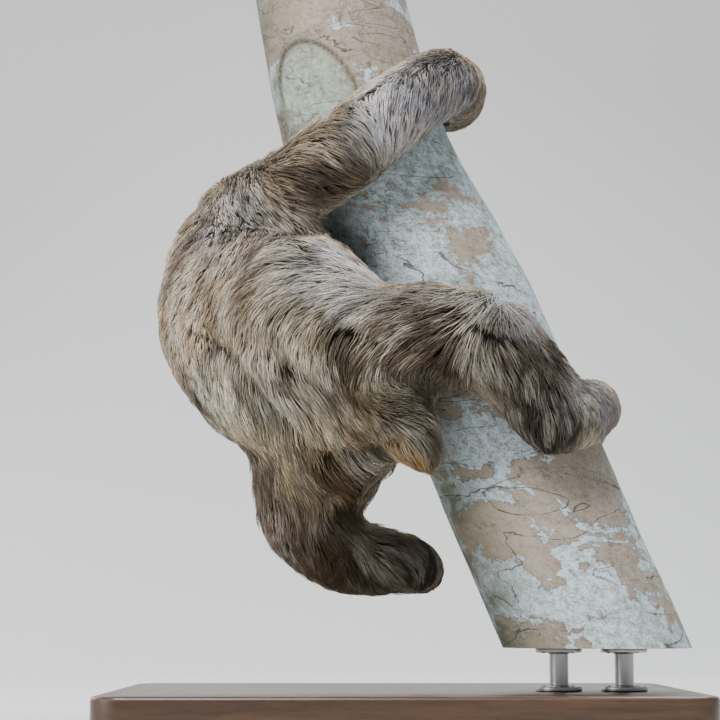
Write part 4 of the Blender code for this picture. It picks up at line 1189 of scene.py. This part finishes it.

# Colour: dark, middle and pale tufts side by side, darker at the root as painted shade and palest towards the
# tip.
middle, stray = markings_and_painted_light(root + up_way * thick[:, None], part_at)
# Painted shade: the coat is darker where it starts in the hollow below a fold.
middle *= (1 - 0.74 * at_roots(sunk) ** 1.25)[:, None]
# Tufts on the edge that hangs over each fold lean pale, as a painted highlight.
carried = 0.85 * at_roots(broad_streak) + 0.55 * at_roots(fine_streak) + 0.7 * at_roots(proud)
pick_tint = np.clip(carried + 0.30 * lock_tint + 0.42 * dice.normal(size=TUFTS), -2.4, 2.4) * stray
pick_tint *= 1 - 0.55 * at_roots(woolly)
toward = np.where((pick_tint > 0)[:, None], np.array(PALE[:3]), np.array(DARK[:3]))
own = np.maximum(middle + (np.abs(pick_tint) * 0.30).clip(0, 0.8)[:, None] * (toward - middle), 0.004)
shaded_root_to_tip = np.array(SHADED_ROOT_TO_TIP)[shape_ring]
tint = np.ones((TUFTS, len(shape), 4))
tint[..., :3] = np.clip(own[:, None] * shaded_root_to_tip[None, :, None], 0, 1)

hair, hair_shader, tree = finish("sloth_hair", 0.58, Specular_IOR_Level=0.35)
wire(hair_shader, Base_Color=tree.node("Attribute", 0, {"attribute_name": "coat_tint"}))

# The skin's own unwrap gives every tuft its place on the map it is baked through.
PATCH = 0.003  # how far each tuft's patch reaches on the map
only(skin)
edit_all(skin, bpy.ops.uv.smart_project, angle_limit=math.radians(66), island_margin=0.001)
skin.data.uv_layers.active.name = "OFBake"
skin.data.calc_loop_triangles()
loops = read(skin.data.loop_triangles, "loops", 3, int)
root_map = (read(skin.data.uv_layers["OFBake"].data, "uv", 2)[loops[chosen]] * mix[..., None]).sum(1)
patch = np.column_stack([(shape_turn / (2 * math.pi)) % 1.0, shape[:, 2]]) * PATCH


def dye(mesh, colours):
    """Keeps a colour at each vertex, for the hair and the hide to read."""
    layer = mesh.color_attributes.new("coat_tint", "FLOAT_COLOR", "POINT")
    layer.data.foreach_set("color", colours.ravel())


def coat_piece(name, mine):
    """A piece of the coat from the tufts numbered in mine."""
    count, size = len(mine), len(shape)
    mesh = bpy.data.meshes.new(name)
    mesh.vertices.add(count * size)
    mesh.vertices.foreach_set("co", tuft_points[mine].ravel())
    mesh.loops.add(count * len(face_corners))
    starts = (np.arange(count) * size)[:, None]
    mesh.loops.foreach_set("vertex_index", (starts + face_corners[None]).ravel())
    mesh.polygons.add(count * len(face_sizes))
    sizes = np.tile(face_sizes, count)
    mesh.polygons.foreach_set("loop_start", np.concatenate([[0], np.cumsum(sizes)[:-1]]))
    dye(mesh, tint[mine])
    places = root_map[mine][:, None] + patch[face_corners][None]
    mesh.uv_layers.new(name="OFBake").data.foreach_set("uv", np.clip(places, 0, 1).ravel())
    mesh.update(calc_edges=True)
    mesh.validate()
    mesh.shade_smooth()
    mesh.materials.append(hair)
    piece = bpy.data.objects.new(name, mesh)
    bpy.context.scene.collection.objects.link(piece)
    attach(piece, "root")


MOST_TUFTS = 12000  # in one piece
COAT_PIECES = {
    "head": ("head", "neck"), "torso": ("torso",), "tail": ("tail",),
    "right_arm": ("right_upper_arm", "right_forearm", "right_hand"),
    "left_arm": ("left_upper_arm", "left_forearm", "left_hand"),
    "right_leg": ("right_thigh", "right_shank", "right_foot"),
    "left_leg": ("left_thigh", "left_shank", "left_foot"),
}
for name, parts in COAT_PIECES.items():
    mine = np.flatnonzero(np.isin(part_at, [FLESH.index(part) for part in parts]))
    mine = mine[np.argsort(-root[mine, 2], kind="stable")]
    shares = math.ceil(len(mine) / MOST_TUFTS)
    for k, group in enumerate(np.array_split(mine, shares)):
        coat_piece(f"coat_{name}" + (f"_{k + 1}" if shares > 1 else ""), group)

# The hide under the hair has the coat's own markings, with their painted light and shade, deeper in tone, and
# is dark at the lids and lips.
hide, hide_shader, tree = finish("hide", 0.8, Specular_IOR_Level=0.2)
skin_colour, _ = markings_and_painted_light(outline_points, body_part)
darkened = np.maximum(lip_dark, lid_dark)[:, None]
skin_colour = skin_colour * 0.6 * (1 - darkened) + np.array(paint(48, 37, 32)[:3]) * darkened
dye(skin.data, np.column_stack([skin_colour, np.ones(len(skin_colour))]))
wire(hide_shader, Base_Color=tree.node("Attribute", 0, {"attribute_name": "coat_tint"}))
fuzz = tree.node("TexCoord", 3).noise(700, 3)
relief(hide_shader, fuzz, 0.0006, 0.8)
skin.data.materials.append(hide)
only(skin)
bpy.ops.object.shade_smooth()
